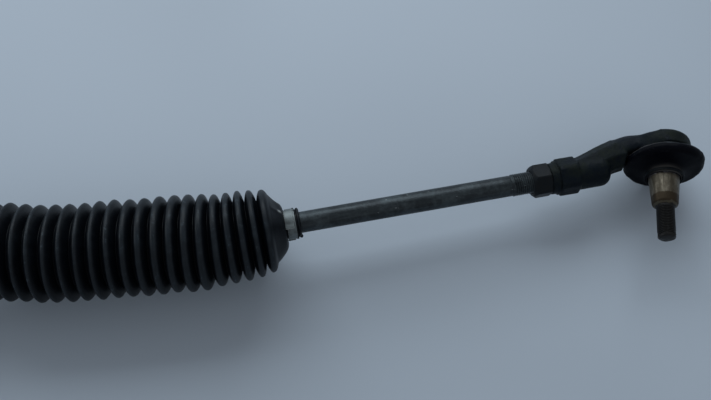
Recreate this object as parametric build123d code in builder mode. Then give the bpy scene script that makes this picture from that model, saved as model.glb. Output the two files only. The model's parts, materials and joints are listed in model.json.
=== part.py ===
"""Rack-and-pinion steering gear with both tie rods, in millimetres.

The rack runs along X and the four mounting holes lie round the origin in the plane z = 0, which is
also the surface that the gear stands on. The tie rods lie as they fall when the gear is put down:
swung away from the front and drooping from their inner ball joints, with the tapered studs pointing
to the front. Pieces that come in pairs are made for the right-hand side and mirrored.
"""

import os
from math import asin, atan, ceil, cos, degrees, exp, pi, radians, sin, sqrt, tan

from build123d import *

# Overall layout
rack_height = 42.0  # rack axis above the mounting plane
inner_ball_span = 640.0  # between the two inner ball centres
housing_span = 430.0  # between the two ends that carry the bellows
rack_travel = 75.0  # each way from the middle
slip = 0.3  # clearance between soft parts and pieces that move in them
fit_clearance = 0.05  # radial clearance of bearings and other running fits

# How the tie rods lie
rod_yaw = 11.1
rod_roll = 8.0  # turns the head about the rod, so that the stud rises from the mounting plane
outer_ball_height = 28.6
stud_tilt = 4.0  # of the stud in its head, back towards the rack

# Mounting
mount_span_x = 330.0
mount_span_y = 90.0
mount_hole_radius = 5.25
sleeve_radius = 8.0
sleeve_length = 30.0
bush_radius = 12.0
bush_inset = 2.0
lug_radius = 16.5
lug_height = 22.0
lug_base = 4.0

# Rack and pinion
rack_radius = 13.0
module = 2.0
pinion_teeth = 8
pressure_angle = 20.0
helix_angle = 20.0
profile_shift = 0.5
pinion_tip_radius = 10.5
rack_addendum = 1.8
rack_dedendum = 1.9
backlash = 0.12
rack_tip_plane = 8.5  # distance of the tooth tips from the rack axis
pinion_station = -125.0
pinion_lean = 20.0  # of the pinion axis, away from the front
pinion_face = 30.0  # toothed length

# Gear casting
rack_bore_radius = 13.8
pinion_cavity_radius = 12.0
casting_barrel_radius = 21.0
casting_box_radius = 25.0
casting_end = -65.0  # where the casting ends round the tube
tower_radius = 23.0
tower_top = 40.0
tower_foot_radius = 15.0
tower_foot = 32.0
yoke_boss_radius = 21.0
yoke_boss_reach = 39.0
box_taper_start = 34.0  # where the barrel begins to widen, before the pinion
box_taper_end = 26.0
rib_reach = 47.0  # along the barrel from the pinion

# Tube
tube_radius = 22.0
tube_wall = 3.0
tube_socket_depth = 30.0
clip_groove_depth = 0.8
clip_groove_width = 8.0
clip_groove_inset = 3.5

# Bearings, seal and caps of the pinion
bearing_radius = 17.5
bearing_bore_radius = 7.5
bearing_width = 11.0
bearing_base = 16.5
race_thickness = 3.0
shield_thickness = 0.8
shield_inset = 0.6
needle_radius = 9.0
needle_bore_radius = 6.0
needle_width = 11.0
circlip_thickness = 1.2
circlip_radius = 9.6
cap_height = 7.0
seal_height = 6.0
seal_radius = 13.0
dust_cap_radius = 18.0
dust_cap_height = 10.0
pinion_reach = 78.0  # from the rack plane to the top of the splined end
spline_length = 24.0
spline_teeth = 36
spline_depth = 0.55
pinch_groove_radius = 6.6
pinch_groove_width = 6.0
pinch_groove_drop = 13.0

# Rack support yoke
yoke_radius = 14.9
yoke_length = 17.0
liner_thickness = 0.8
liner_half_angle = 50.0
liner_reach = 0.7  # share of the yoke's radius that the liner covers along the rack
yoke_front = 6.0  # from the rack axis
yoke_pocket_depth = 4.5
disc_radius = 10.0
disc_bore_radius = 5.2
disc_thickness = 1.1
disc_cone = 0.6
disc_count = 4
plug_radius = 15.0
plug_clearance = 0.3
plug_stand = 3.0  # how far the plug stands out of its locknut
plug_hex = 14.0
plug_hex_depth = 6.0
locknut_flats = 38.0
locknut_height = 7.0

# Saddle bracket on the tube
saddle_width = 30.0
saddle_rubber_thickness = 6.0
saddle_plate = 3.5
saddle_foot_reach = 62.0
saddle_bead_radius = 3.2

# Rack bush
rack_bush_length = 20.0
rack_bush_inset = 4.0
snap_ring_thickness = 1.5

# Inner ball joint
inner_ball_radius = 12.0
inner_seat_thickness = 2.45
socket_radius = 17.0
socket_back = 24.0  # from the ball centre to the face on the lock washer
socket_flats = 30.0
socket_flats_length = 9.0
socket_stud_radius = 7.0
socket_stud_length = 20.0
washer_thickness = 2.0
washer_radius = 15.5
tab_thickness = 1.2
tab_width = 9.0
tab_length = 6.0
seat_opening = 55.0  # half angle of the seat's mouth
seat_back_opening = 168.0  # where the seat ends round the hole in its back
socket_opening = 57.0  # half angle of the socket's mouth

# Inner tie rod
rod_radius = 7.5
rod_neck_radius = 5.75
rod_thread_radius = 8.0
rod_reach = 388.0  # between the inner and outer ball centres, along the rod
nut_set_back = 101.0  # from the outer ball centre back to the face of the jam nut
nut_length = 13.5
nut_flats = 22.0
thread_shown = 14.0  # thread left in sight before the jam nut
thread_engagement = 30.0

# Bellows
bellows_seat = 12.0  # length of the large neck on the housing
bellows_wall = 2.0
bellows_crest_radius = 34.2
bellows_root_radius = 27.0
bellows_taper = 5.0  # how much narrower the last fold is
bellows_taper_length = 50.0
bellows_folds = 24
bellows_stretch = 0.3  # how much wider the folds are beside the inner ball joint
bellows_stretch_length = 42.0
bellows_bend_length = 50.0
cone_start = 100.0  # these stations lie along the rod, from the inner ball centre
cone_end = 107.0
cone_large_radius = 24.0
cone_radius = 13.2
small_neck_radius = 10.0
small_lip_radius = 9.7
small_clip_start = 108.5
small_clip_width = 7.0
small_lip_end = 121.5
clip_band = 0.9

# Tie rod end
head_cant = 14.0  # of the head axis, back from square to the rod
head_radius = 20.5
head_back = 15.5  # from the ball centre to the rim on the closed side
head_rim_round = 5.0  # of the rim, which is rolled over the cover plate
head_front = 7.8
head_lip_radius = 18.8
head_mouth_radius = 9.6
head_mouth_start = 6.3
ring_groove_radius = 18.0
ring_groove_start = -3.5
ring_groove_end = 2.5
head_bore_radius = 15.5
outer_ball_radius = 11.0
end_socket_radius = 11.4
end_socket_length = 45.0
end_collar_radius = 10.2
end_collar_length = 4.0
end_hex = 25.0
end_hex_start = 6.5
end_hex_length = 14.0
end_hex_crown = 13.6
neck_stations = [  # distance short of the outer ball, offset behind the rod axis, half width, half height
    (70.0, 0.3, 11.0, 10.6),
    (60.0, 2.2, 11.3, 10.8),
    (47.0, 6.4, 11.6, 10.8),
    (31.0, 9.7, 11.9, 10.4),
    (8.0, 8.8, 9.4, 9.0),
]
neck_facets = [  # corners of the neck's section, as shares of its half height and half width
    (1.0, 0.4),
    (0.36, 0.97),
    (-0.36, 0.97),
    (-1.0, 0.4),
    (-1.0, -0.4),
    (-0.36, -0.97),
    (0.36, -0.97),
    (1.0, -0.4),
]
cover_thickness = 2.5
cover_rim = 1.0
seat_back = 10.5
spring_thickness = 0.9
stud_neck_radius = 6.6
stud_land_start = 13.0  # of the land that the boot's lip sits on
taper_start = 17.5
taper_end = 38.0
taper_large_radius = 10.9
taper_small_radius = 9.2
stud_thread_radius = 6.35
stud_reach = 65.0
dust_boot_radius = 28.7
dust_boot_wall = 1.8
dust_boot_middle = 4.7  # where the boot is widest, along the head from the ball centre
dust_boot_depth = 8.0  # from the back of its bulge to the front
dust_boot_gap = 1.0  # round it in the forging
dust_boot_face = 0.9  # from the head's mouth to the inside of the boot's front, which tilts with the stud
boot_lip_length = 3.4
boot_ring_width = 1.8
boot_ring_wire = 1.0

# Frames of the gear
lean = radians(pinion_lean)
gear_point = Vector(pinion_station, 0, rack_height)
rack_axis = Axis((0, 0, rack_height), (1, 0, 0))
tower_dir = Vector(0, sin(lean), cos(lean))
tooth_dir = Vector(0, cos(lean), -sin(lean))
pitch_radius = module * pinion_teeth / 2
pinion_offset = rack_tip_plane - rack_addendum + pitch_radius + profile_shift * module
pinion_point = gear_point + tooth_dir * pinion_offset
pinion_axis = Axis(pinion_point, tower_dir)
yoke_plane = Plane(origin=gear_point, x_dir=(1, 0, 0), z_dir=-tooth_dir)
yoke_axis = Axis(gear_point, -tooth_dir)
half_housing = housing_span / 2

# Frames of the right-hand tie rod
yaw, roll = radians(rod_yaw), radians(rod_roll)
droop = asin((rack_height - outer_ball_height) / rod_reach)
inner_ball = Vector(inner_ball_span / 2, 0, rack_height)
rod_dir = Vector(cos(droop) * cos(yaw), cos(droop) * sin(yaw), -sin(droop))
front_dir = Vector(sin(yaw), -cos(yaw), 0)
up_dir = front_dir.cross(rod_dir)
stud_square_dir = front_dir * cos(roll) + up_dir * sin(roll)
head_up_dir = up_dir * cos(roll) - front_dir * sin(roll)
head_angle, stud_angle = radians(head_cant), radians(head_cant + stud_tilt)
head_dir = stud_square_dir * cos(head_angle) - rod_dir * sin(head_angle)
stud_dir = stud_square_dir * cos(stud_angle) - rod_dir * sin(stud_angle)
outer_ball = inner_ball + rod_dir * rod_reach
rod_axis = Axis(inner_ball, rod_dir)
head_axis = Axis(outer_ball, head_dir)
stud_axis = Axis(outer_ball, stud_dir)
seat_dir = Vector(cos(yaw), sin(yaw), 0)


def profile_plane(origin, along, beside):
    """A plane whose x runs along an axis of revolution and whose y is the radius."""
    return Plane(origin=origin, x_dir=along, z_dir=along.cross(beside))


def rack_section(station):
    """The plane square to the rack at a place along X."""
    return Plane(origin=(station, 0, rack_height), x_dir=(0, 1, 0), z_dir=(1, 0, 0))


def rod_section(distance):
    """The plane square to the tie rod at a distance from the inner ball centre."""
    return Plane(origin=inner_ball + rod_dir * distance, x_dir=head_up_dir, z_dir=rod_dir)


rack_profile = profile_plane(Vector(0, 0, rack_height), Vector(1, 0, 0), Vector(0, 0, 1))
pinion_profile = profile_plane(pinion_point, tower_dir, Vector(1, 0, 0))
yoke_profile = profile_plane(gear_point, -tooth_dir, Vector(1, 0, 0))
rod_profile = profile_plane(inner_ball, rod_dir, head_up_dir)
head_profile = profile_plane(outer_ball, head_dir, head_up_dir)
stud_profile = profile_plane(outer_ball, stud_dir, head_up_dir)
seat_profile = profile_plane(inner_ball, seat_dir, Vector(0, 0, 1))


def save(piece, name):
    """Labels a piece and writes it as the STEP file of its own name."""
    piece.part.label = name
    export_step(piece.part, f"parts/{name}.step")


def save_pair(piece, name):
    """Writes a right-hand piece and its mirror image on the left."""
    save(piece, f"{name}_right")
    with BuildPart() as opposite:
        mirror(piece.part, about=Plane.YZ)
    save(opposite, f"{name}_left")


def revolve_profile(plane, axis, points, mode=Mode.ADD):
    """Revolves a half profile, given as (distance along, radius) points, in the part being built."""
    with BuildSketch(plane) as profile:
        with BuildLine():
            Polyline(*points, close=True)
        make_face()
    revolve(profile.sketch, axis=axis, mode=mode)


def extrude_circle(plane, radius, length, mode=Mode.ADD):
    """Extrudes a circle from a plane in the part being built."""
    with BuildSketch(plane) as section:
        Circle(radius)
    extrude(section.sketch, amount=length, mode=mode)


def loft_rings(plane_at, rings, mode=Mode.ADD):
    """Joins circles, given as (distance, radius) pairs, by straight bands in the part being built."""
    circles = []
    for distance, radius in rings:
        with BuildSketch(plane_at(distance)) as ring:
            Circle(radius)
        circles.append(ring.sketch)
    loft(circles, ruled=True, mode=mode)


def band(plane, inner_radius, thickness, width):
    """A flat ring round the normal of a plane."""
    with BuildPart() as piece:
        with BuildSketch(plane):
            Circle(inner_radius + thickness)
            Circle(inner_radius, mode=Mode.SUBTRACT)
        extrude(amount=width)
    return piece


def turned(plane, axis, points):
    """A solid of revolution by itself."""
    with BuildPart() as piece:
        revolve_profile(plane, axis, points)
    return piece


def smooth(share):
    """Rises from 0 to 1 with level ends as its argument does so."""
    held = min(1.0, max(0.0, share))
    return held * held * (3 - 2 * held)


os.makedirs("parts", exist_ok=True)


# ---------------------------------------------------------------- gear casting
bearing_top = bearing_base + bearing_width
lug_points = [(-mount_span_x / 2, mount_span_y / 2), (-mount_span_x / 2, -mount_span_y / 2)]
barrel_run = [
    (-half_housing, tube_radius),
    (-half_housing + clip_groove_inset, tube_radius),
    (-half_housing + clip_groove_inset, tube_radius - clip_groove_depth),
    (-half_housing + clip_groove_inset + clip_groove_width, tube_radius - clip_groove_depth),
    (-half_housing + clip_groove_inset + clip_groove_width, tube_radius),
    (-half_housing + bellows_seat + 3, tube_radius),
    (-half_housing + bellows_seat + 3, casting_barrel_radius + 3),
    (-half_housing + bellows_seat + 7, casting_barrel_radius + 3),
    (-half_housing + bellows_seat + 10, casting_barrel_radius),
    (pinion_station - box_taper_start, casting_barrel_radius),
    (pinion_station - box_taper_end, casting_box_radius),
    (casting_end - tube_socket_depth - 4, casting_box_radius),
    (casting_end - tube_socket_depth, casting_box_radius + 2),
    (casting_end - 2, casting_box_radius + 2),
    (casting_end, casting_box_radius),
]
with BuildPart() as casting:
    revolve_profile(rack_profile, rack_axis, [(-half_housing, 0), *barrel_run, (casting_end, 0)])
    # The pinion tower, with a heavier rim at the top and a narrow foot
    tower_run = [
        (-tower_foot, 0),
        (-tower_foot, tower_foot_radius - 2),
        (-tower_foot + 2, tower_foot_radius),
        (-pinion_face / 2, tower_foot_radius + 1),
        (-pinion_face / 4, tower_radius - 3),
        (tower_top - 12, tower_radius - 1),
        (tower_top - 9, tower_radius + 1.5),
        (tower_top - 1, tower_radius + 1.5),
        (tower_top, tower_radius + 0.5),
        (tower_top, 0),
    ]
    revolve_profile(pinion_profile, pinion_axis, tower_run)
    # The yoke boss
    boss_run = [
        (0, 0),
        (0, yoke_boss_radius),
        (yoke_boss_reach - 8, yoke_boss_radius),
        (yoke_boss_reach - 6, yoke_boss_radius + 1.5),
        (yoke_boss_reach - 1, yoke_boss_radius + 1.5),
        (yoke_boss_reach, yoke_boss_radius + 0.5),
        (yoke_boss_reach, 0),
    ]
    revolve_profile(yoke_profile, yoke_axis, boss_run)
    # Two mounting lugs on one arm under the barrel, with a rib up each side of the barrel
    with BuildSketch(Plane.XY.offset(lug_base)):
        with Locations(*lug_points):
            Circle(lug_radius)
    extrude(amount=lug_height)
    with BuildSketch(Plane.XY.offset(lug_base + 4)):
        with Locations((-mount_span_x / 2, 0)):
            Rectangle(2 * lug_radius - 7, mount_span_y)
    extrude(amount=lug_height - 8)
    for rib_x in (-mount_span_x / 2 - 8, -mount_span_x / 2 + 8):
        with BuildSketch(Plane(origin=(rib_x, 0, 0), x_dir=(0, 1, 0), z_dir=(1, 0, 0))):
            with BuildLine():
                Polyline(
                    (-mount_span_y / 2 + 9, lug_base + lug_height - 4),
                    (-casting_barrel_radius + 5, rack_height + 8),
                    (casting_barrel_radius - 5, rack_height + 8),
                    (mount_span_y / 2 - 9, lug_base + lug_height - 4),
                    close=True,
                )
            make_face()
        extrude(amount=2.5, both=True)
    # Ribs that stiffen the box between the tower and the barrel
    for rib_turn in (-1, 1):
        with BuildSketch(Plane(origin=gear_point, x_dir=(1, 0, 0), z_dir=tower_dir.cross(Vector(1, 0, 0)))):
            with BuildLine():
                Polyline(
                    (rib_turn * 10, 12),
                    (rib_turn * (tower_radius - 3), tower_top - 14),
                    (rib_turn * rib_reach, casting_barrel_radius - 2),
                    (rib_turn * rib_reach, 12),
                    close=True,
                )
            make_face()
        extrude(amount=2.5, both=True)
    # Bores: the rack, the tube, the pinion with its bearings, the yoke and the mounting bushes
    extrude_circle(rack_section(-half_housing), rack_bore_radius, half_housing + casting_end, Mode.SUBTRACT)
    socket_floor = casting_end - tube_socket_depth
    extrude_circle(rack_section(socket_floor), tube_radius, tube_socket_depth, Mode.SUBTRACT)
    tower_bore = [
        (-bearing_base - needle_width, 0),
        (-bearing_base - needle_width, needle_radius),
        (-bearing_base, needle_radius),
        (-bearing_base, pinion_cavity_radius),
        (bearing_base, pinion_cavity_radius),
        (bearing_base, bearing_radius),
        (tower_top, bearing_radius),
        (tower_top, 0),
    ]
    revolve_profile(pinion_profile, pinion_axis, tower_bore, Mode.SUBTRACT)
    extrude_circle(yoke_plane, plug_radius, yoke_boss_reach, Mode.SUBTRACT)
    with BuildSketch(Plane.XY):
        with Locations(*lug_points):
            Circle(bush_radius)
    extrude(amount=rack_height, mode=Mode.SUBTRACT)
save(casting, "gear_casting")

# ---------------------------------------------------------------- tube and its end
tube_bore = tube_radius - tube_wall
rack_tube = turned(
    rack_profile,
    rack_axis,
    [
        (casting_end - tube_socket_depth, tube_bore),
        (casting_end - tube_socket_depth, tube_radius),
        (half_housing - clip_groove_inset - clip_groove_width, tube_radius),
        (half_housing - clip_groove_inset - clip_groove_width, tube_radius - clip_groove_depth),
        (half_housing - clip_groove_inset, tube_radius - clip_groove_depth),
        (half_housing - clip_groove_inset, tube_radius),
        (half_housing - 1, tube_radius),
        (half_housing, tube_radius - 1),
        (half_housing, tube_bore),
    ],
)
save(rack_tube, "rack_tube")

bush_end = half_housing - rack_bush_inset
rack_bush = turned(
    rack_profile,
    rack_axis,
    [
        (bush_end - rack_bush_length, rack_radius + fit_clearance),
        (bush_end - rack_bush_length, tube_bore - 2),
        (bush_end - rack_bush_length + 2, tube_bore),
        (bush_end, tube_bore),
        (bush_end, rack_radius + 1),
        (bush_end - 1, rack_radius + fit_clearance),
    ],
)
save(rack_bush, "rack_bush")

with BuildPart() as snap_ring:
    with BuildSketch(rack_section(bush_end)):
        Circle(tube_bore)
        Circle(tube_bore - 2.5, mode=Mode.SUBTRACT)
        with Locations((0, -tube_bore)):
            Rectangle(8, 8, mode=Mode.SUBTRACT)
    extrude(amount=snap_ring_thickness)
save(snap_ring, "bush_snap_ring")

# ---------------------------------------------------------------- saddle and mounting bushes
saddle_station = mount_span_x / 2
saddle_plane = Plane(
    origin=(saddle_station - saddle_width / 2, 0, 0), x_dir=(0, 1, 0), z_dir=(1, 0, 0)
)
saddle_inner = tube_radius + saddle_rubber_thickness
with BuildPart() as saddle_rubber:
    with BuildSketch(saddle_plane):
        with Locations((0, rack_height)):
            Circle(saddle_inner)
        with Locations((0, rack_height / 2)):
            Rectangle(2 * saddle_inner, rack_height)
        with Locations((0, rack_height)):
            Circle(tube_radius, mode=Mode.SUBTRACT)
    extrude(amount=saddle_width)
save(saddle_rubber, "saddle_rubber")

saddle_outer = saddle_inner + saddle_plate
with BuildPart() as saddle_bracket:
    with BuildSketch(saddle_plane):
        with Locations((0, rack_height)):
            Circle(saddle_outer)
        with Locations((0, rack_height / 2)):
            Rectangle(2 * saddle_outer, rack_height)
        with Locations((0, saddle_plate / 2)):
            Rectangle(2 * saddle_foot_reach, saddle_plate)
        with Locations((0, rack_height)):
            Circle(saddle_inner, mode=Mode.SUBTRACT)
        with Locations((0, rack_height / 2)):
            Rectangle(2 * saddle_inner, rack_height, mode=Mode.SUBTRACT)
    extrude(amount=saddle_width)
    foot_corners = saddle_bracket.edges().filter_by(Axis.Z).filter_by(
        lambda edge: abs(edge.center().Y) > saddle_foot_reach - 1
    )
    fillet(foot_corners, saddle_width / 3)
    with BuildSketch(Plane.XY):
        with Locations((saddle_station, mount_span_y / 2), (saddle_station, -mount_span_y / 2)):
            Circle(mount_hole_radius)
    extrude(amount=saddle_plate, mode=Mode.SUBTRACT)
    # A pressed bead that stiffens the strap over the top of the tube
    bead_profile = profile_plane(Vector(saddle_station, 0, rack_height), Vector(1, 0, 0), Vector(0, 1, 0))
    with BuildSketch(bead_profile):
        with Locations((0, saddle_outer)):
            Circle(saddle_bead_radius)
        with Locations((0, saddle_outer - saddle_bead_radius)):
            Rectangle(2 * saddle_bead_radius, 2 * saddle_bead_radius, mode=Mode.SUBTRACT)
    revolve(axis=rack_axis, revolution_arc=180)
save(saddle_bracket, "saddle_bracket")

with BuildPart() as bush_sleeves:
    with BuildSketch(Plane.XY):
        with Locations(*lug_points):
            Circle(sleeve_radius)
        with Locations(*lug_points):
            Circle(mount_hole_radius, mode=Mode.SUBTRACT)
    extrude(amount=sleeve_length)
save(bush_sleeves, "mount_sleeves")

with BuildPart() as bush_rubbers:
    with BuildSketch(Plane.XY.offset(bush_inset)):
        with Locations(*lug_points):
            Circle(bush_radius)
        with Locations(*lug_points):
            Circle(sleeve_radius, mode=Mode.SUBTRACT)
    extrude(amount=sleeve_length - 2 * bush_inset)
save(bush_rubbers, "mount_rubbers")

# ---------------------------------------------------------------- rack bar
rack_end = inner_ball_span / 2 - socket_back - washer_thickness
tooth_pitch = pi * module
slope = tan(radians(pressure_angle))
helix = radians(helix_angle)
gap_at_tips = tooth_pitch / 2 + 2 * rack_addendum * slope + backlash
gap_at_roots = tooth_pitch / 2 - 2 * rack_dedendum * slope + backlash
rack_gap_count = ceil((2 * rack_travel + pinion_face) / tooth_pitch)
tooth_run = rack_gap_count * tooth_pitch
tooth_plane = Plane(origin=gear_point, x_dir=(1, 0, 0), z_dir=tower_dir)
gap_plane = Plane(
    origin=gear_point - tower_dir * rack_radius - Vector(rack_radius * tan(helix), 0, 0),
    x_dir=(1, 0, 0),
    z_dir=tower_dir,
)
gap_dir = Vector(1, 0, 0) * sin(helix) + tower_dir * cos(helix)
gap_depth = rack_tip_plane - rack_addendum - rack_dedendum
with BuildPart() as rack_bar:
    extrude_circle(rack_section(-rack_end), rack_radius, 2 * rack_end)
    chamfer(rack_bar.edges().filter_by(GeomType.CIRCLE), 1.5)
    with BuildSketch(tooth_plane):
        with Locations((0, rack_tip_plane + rack_radius / 2)):
            Rectangle(tooth_run, rack_radius)
    extrude(amount=rack_radius, both=True, mode=Mode.SUBTRACT)
    with BuildSketch(gap_plane):
        with GridLocations(tooth_pitch, 1, rack_gap_count, 1):
            Polygon(
                (-gap_at_roots / 2, gap_depth),
                (gap_at_roots / 2, gap_depth),
                (gap_at_tips / 2, rack_tip_plane),
                (-gap_at_tips / 2, rack_tip_plane),
                align=None,
            )
    extrude(amount=2 * rack_radius / cos(helix), dir=gap_dir, mode=Mode.SUBTRACT)
    hole_depth = socket_stud_length + 2
    for hole_start in (-rack_end, rack_end - hole_depth):
        extrude_circle(rack_section(hole_start), socket_stud_radius, hole_depth, Mode.SUBTRACT)
save(rack_bar, "rack_bar")

# ---------------------------------------------------------------- pinion
pinion_root_radius = pitch_radius + (profile_shift - 1.25) * module
base_radius = pitch_radius * cos(radians(pressure_angle))
flank_steps = [base_radius + share * (pinion_tip_radius - base_radius) for share in (0, 0.3, 0.65, 1)]
pinion_twist = pinion_face * tan(helix) / pitch_radius


def involute(radius):
    """The angle that an involute has turned through at a radius."""
    unrolled = sqrt(max(0.0, (radius / base_radius) ** 2 - 1))
    return unrolled - atan(unrolled)


def tooth_half_angle(radius):
    """Half the angle that a pinion tooth covers at a radius."""
    at_pitch = (pi / 2 + 2 * profile_shift * slope) / pinion_teeth
    return at_pitch + involute(pitch_radius) - involute(radius)


def around(radius, angle):
    """A point of the pinion's section, with the angle measured from the side of the rack."""
    return Vector(radius * sin(angle), -radius * cos(angle))


tooth_base = pinion_point - tower_dir * pinion_face / 2
with BuildSketch(Plane(origin=tooth_base, x_dir=(1, 0, 0), z_dir=tower_dir)) as tooth_section:
    with BuildLine():
        for tooth in range(pinion_teeth):
            middle = 2 * pi * tooth / pinion_teeth - pinion_twist / 2
            next_middle = middle + 2 * pi / pinion_teeth
            foot = tooth_half_angle(base_radius)
            tip = tooth_half_angle(pinion_tip_radius)
            Line(around(pinion_root_radius, middle - foot), around(base_radius, middle - foot))
            Spline(*[around(radius, middle - tooth_half_angle(radius)) for radius in flank_steps])
            Line(around(pinion_tip_radius, middle - tip), around(pinion_tip_radius, middle + tip))
            Spline(*[around(radius, middle + tooth_half_angle(radius)) for radius in flank_steps[::-1]])
            Line(around(base_radius, middle + foot), around(pinion_root_radius, middle + foot))
            Line(around(pinion_root_radius, middle + foot), around(pinion_root_radius, next_middle - foot))
    make_face()
teeth = Solid.extrude_linear_with_rotation(
    tooth_section.sketch.face(), tooth_base, tower_dir * pinion_face, degrees(pinion_twist)
)

spline_start = pinion_reach - spline_length
journal_radius = bearing_bore_radius - fit_clearance
circlip_top = bearing_top + circlip_thickness
pinch_groove = pinion_reach - pinch_groove_drop
with BuildPart() as pinion:
    add(teeth)
    shaft_run = [
        (-bearing_base - needle_width + 1, 0),
        (-bearing_base - needle_width + 1, needle_bore_radius - fit_clearance - 0.8),
        (-bearing_base - needle_width + 1.8, needle_bore_radius - fit_clearance),
        (-pinion_face / 2 + 1, needle_bore_radius - fit_clearance),
        (-pinion_face / 2 + 1, 0),
    ]
    revolve_profile(pinion_profile, pinion_axis, shaft_run)
    neck_run = [
        (pinion_face / 2 - 1, 0),
        (pinion_face / 2 - 1, bearing_bore_radius + 1.5),
        (bearing_base, bearing_bore_radius + 1.5),
        (bearing_base, journal_radius),
        (bearing_top, journal_radius),
        (bearing_top, journal_radius - 0.6),
        (circlip_top, journal_radius - 0.6),
        (circlip_top, journal_radius),
        (spline_start - 2, journal_radius),
        (spline_start, journal_radius - 0.5),
        (pinion_reach - 1, journal_radius - 0.5),
        (pinion_reach, journal_radius - 1.5),
        (pinion_reach, 0),
    ]
    revolve_profile(pinion_profile, pinion_axis, neck_run)
    # Splines round the end, with the groove that the pinch bolt passes through
    spline_origin = pinion_point + tower_dir * spline_start
    with BuildSketch(Plane(origin=spline_origin, x_dir=(1, 0, 0), z_dir=tower_dir)):
        with PolarLocations(journal_radius - 0.5, spline_teeth):
            RegularPolygon(spline_depth, 3)
    extrude(amount=spline_length, mode=Mode.SUBTRACT)
    groove_run = [
        (pinch_groove - pinch_groove_width / 2, pinch_groove_radius),
        (pinch_groove - pinch_groove_width / 2, bearing_bore_radius),
        (pinch_groove + pinch_groove_width / 2, bearing_bore_radius),
        (pinch_groove + pinch_groove_width / 2, pinch_groove_radius),
    ]
    revolve_profile(pinion_profile, pinion_axis, groove_run, Mode.SUBTRACT)
save(pinion, "pinion")

# ---------------------------------------------------------------- bearings, seal and caps of the pinion
outer_race = turned(
    pinion_profile,
    pinion_axis,
    [
        (bearing_base, bearing_radius - race_thickness),
        (bearing_base, bearing_radius),
        (bearing_top, bearing_radius),
        (bearing_top, bearing_radius - race_thickness),
    ],
)
save(outer_race, "bearing_outer_race")

inner_race = turned(
    pinion_profile,
    pinion_axis,
    [
        (bearing_base, bearing_bore_radius),
        (bearing_base, bearing_bore_radius + race_thickness),
        (bearing_top, bearing_bore_radius + race_thickness),
        (bearing_top, bearing_bore_radius),
    ],
)
save(inner_race, "bearing_inner_race")

with BuildPart() as shields:
    for shield_start in (bearing_base + shield_inset, bearing_top - shield_inset - shield_thickness):
        shield_run = [
            (shield_start, bearing_bore_radius + race_thickness + fit_clearance),
            (shield_start, bearing_radius - race_thickness),
            (shield_start + shield_thickness, bearing_radius - race_thickness),
            (shield_start + shield_thickness, bearing_bore_radius + race_thickness + fit_clearance),
        ]
        revolve_profile(pinion_profile, pinion_axis, shield_run)
save(shields, "bearing_shields")

needle_bearing = turned(
    pinion_profile,
    pinion_axis,
    [
        (-bearing_base - needle_width, needle_bore_radius),
        (-bearing_base - needle_width, needle_radius),
        (-bearing_base, needle_radius),
        (-bearing_base, needle_bore_radius),
    ],
)
save(needle_bearing, "needle_bearing")

with BuildPart() as circlip:
    with BuildSketch(Plane(origin=pinion_point + tower_dir * bearing_top, x_dir=(1, 0, 0), z_dir=tower_dir)):
        Circle(circlip_radius)
        Circle(journal_radius - 0.6, mode=Mode.SUBTRACT)
        with Locations((0, circlip_radius)):
            Rectangle(circlip_radius * 0.8, circlip_radius, mode=Mode.SUBTRACT)
    extrude(amount=circlip_thickness)
save(circlip, "pinion_circlip")

cap_top = bearing_top + cap_height
seal_base = cap_top - seal_height + 1
with BuildPart() as pinion_cap:
    cap_run = [
        (bearing_top, seal_radius),
        (bearing_top, bearing_radius),
        (cap_top, bearing_radius),
        (cap_top, seal_radius),
    ]
    revolve_profile(pinion_profile, pinion_axis, cap_run)
    # Four blind holes for a pin spanner
    with BuildSketch(Plane(origin=pinion_point + tower_dir * cap_top, x_dir=(1, 0, 0), z_dir=tower_dir)):
        with PolarLocations((seal_radius + bearing_radius) / 2, 4, start_angle=45):
            Circle((bearing_radius - seal_radius) / 3)
    extrude(amount=-cap_height / 2, mode=Mode.SUBTRACT)
save(pinion_cap, "pinion_cap")

seal_bore = journal_radius + fit_clearance
pinion_seal = turned(
    pinion_profile,
    pinion_axis,
    [
        (seal_base, seal_radius - 3),
        (seal_base, seal_radius),
        (cap_top, seal_radius),
        (cap_top, seal_bore + 1),
        (cap_top - 1, seal_bore),
        (seal_base + 2, seal_bore),
        (seal_base + 2.5, seal_radius - 3),
    ],
)
save(pinion_seal, "pinion_seal")

dust_cap = turned(
    pinion_profile,
    pinion_axis,
    [
        (cap_top + slip, bearing_radius - 2),
        (cap_top + slip, bearing_radius),
        (tower_top, bearing_radius),
        (tower_top, dust_cap_radius),
        (tower_top + 2.5, dust_cap_radius),
        (tower_top + 3.5, seal_radius + 0.5),
        (tower_top + dust_cap_height, journal_radius + 3),
        (tower_top + dust_cap_height, journal_radius + slip),
        (tower_top + dust_cap_height - 2, journal_radius + slip),
        (tower_top + 2, seal_radius - 1.5),
        (tower_top, bearing_radius - 2),
    ],
)
save(dust_cap, "dust_cap")

# ---------------------------------------------------------------- rack support yoke
liner_radius = rack_radius + fit_clearance
yoke_saddle_radius = liner_radius + liner_thickness
yoke_back = yoke_front + yoke_length
disc_pitch = disc_thickness + disc_cone
plug_front = yoke_back + plug_clearance
plug_pocket_depth = disc_count * disc_pitch - yoke_pocket_depth - plug_clearance
plug_back = yoke_boss_reach + locknut_height + plug_stand
with BuildPart() as yoke:
    yoke_run = [
        (yoke_front, 0),
        (yoke_front, yoke_radius),
        (yoke_back - 1, yoke_radius),
        (yoke_back, yoke_radius - 1),
        (yoke_back, disc_radius + 0.5),
        (yoke_back - yoke_pocket_depth, disc_radius + 0.5),
        (yoke_back - yoke_pocket_depth, 0),
    ]
    revolve_profile(yoke_profile, yoke_axis, yoke_run)
    saddle_start = rack_section(pinion_station - yoke_radius)
    extrude_circle(saddle_start, yoke_saddle_radius, 2 * yoke_radius, Mode.SUBTRACT)
save(yoke, "yoke")

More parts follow.
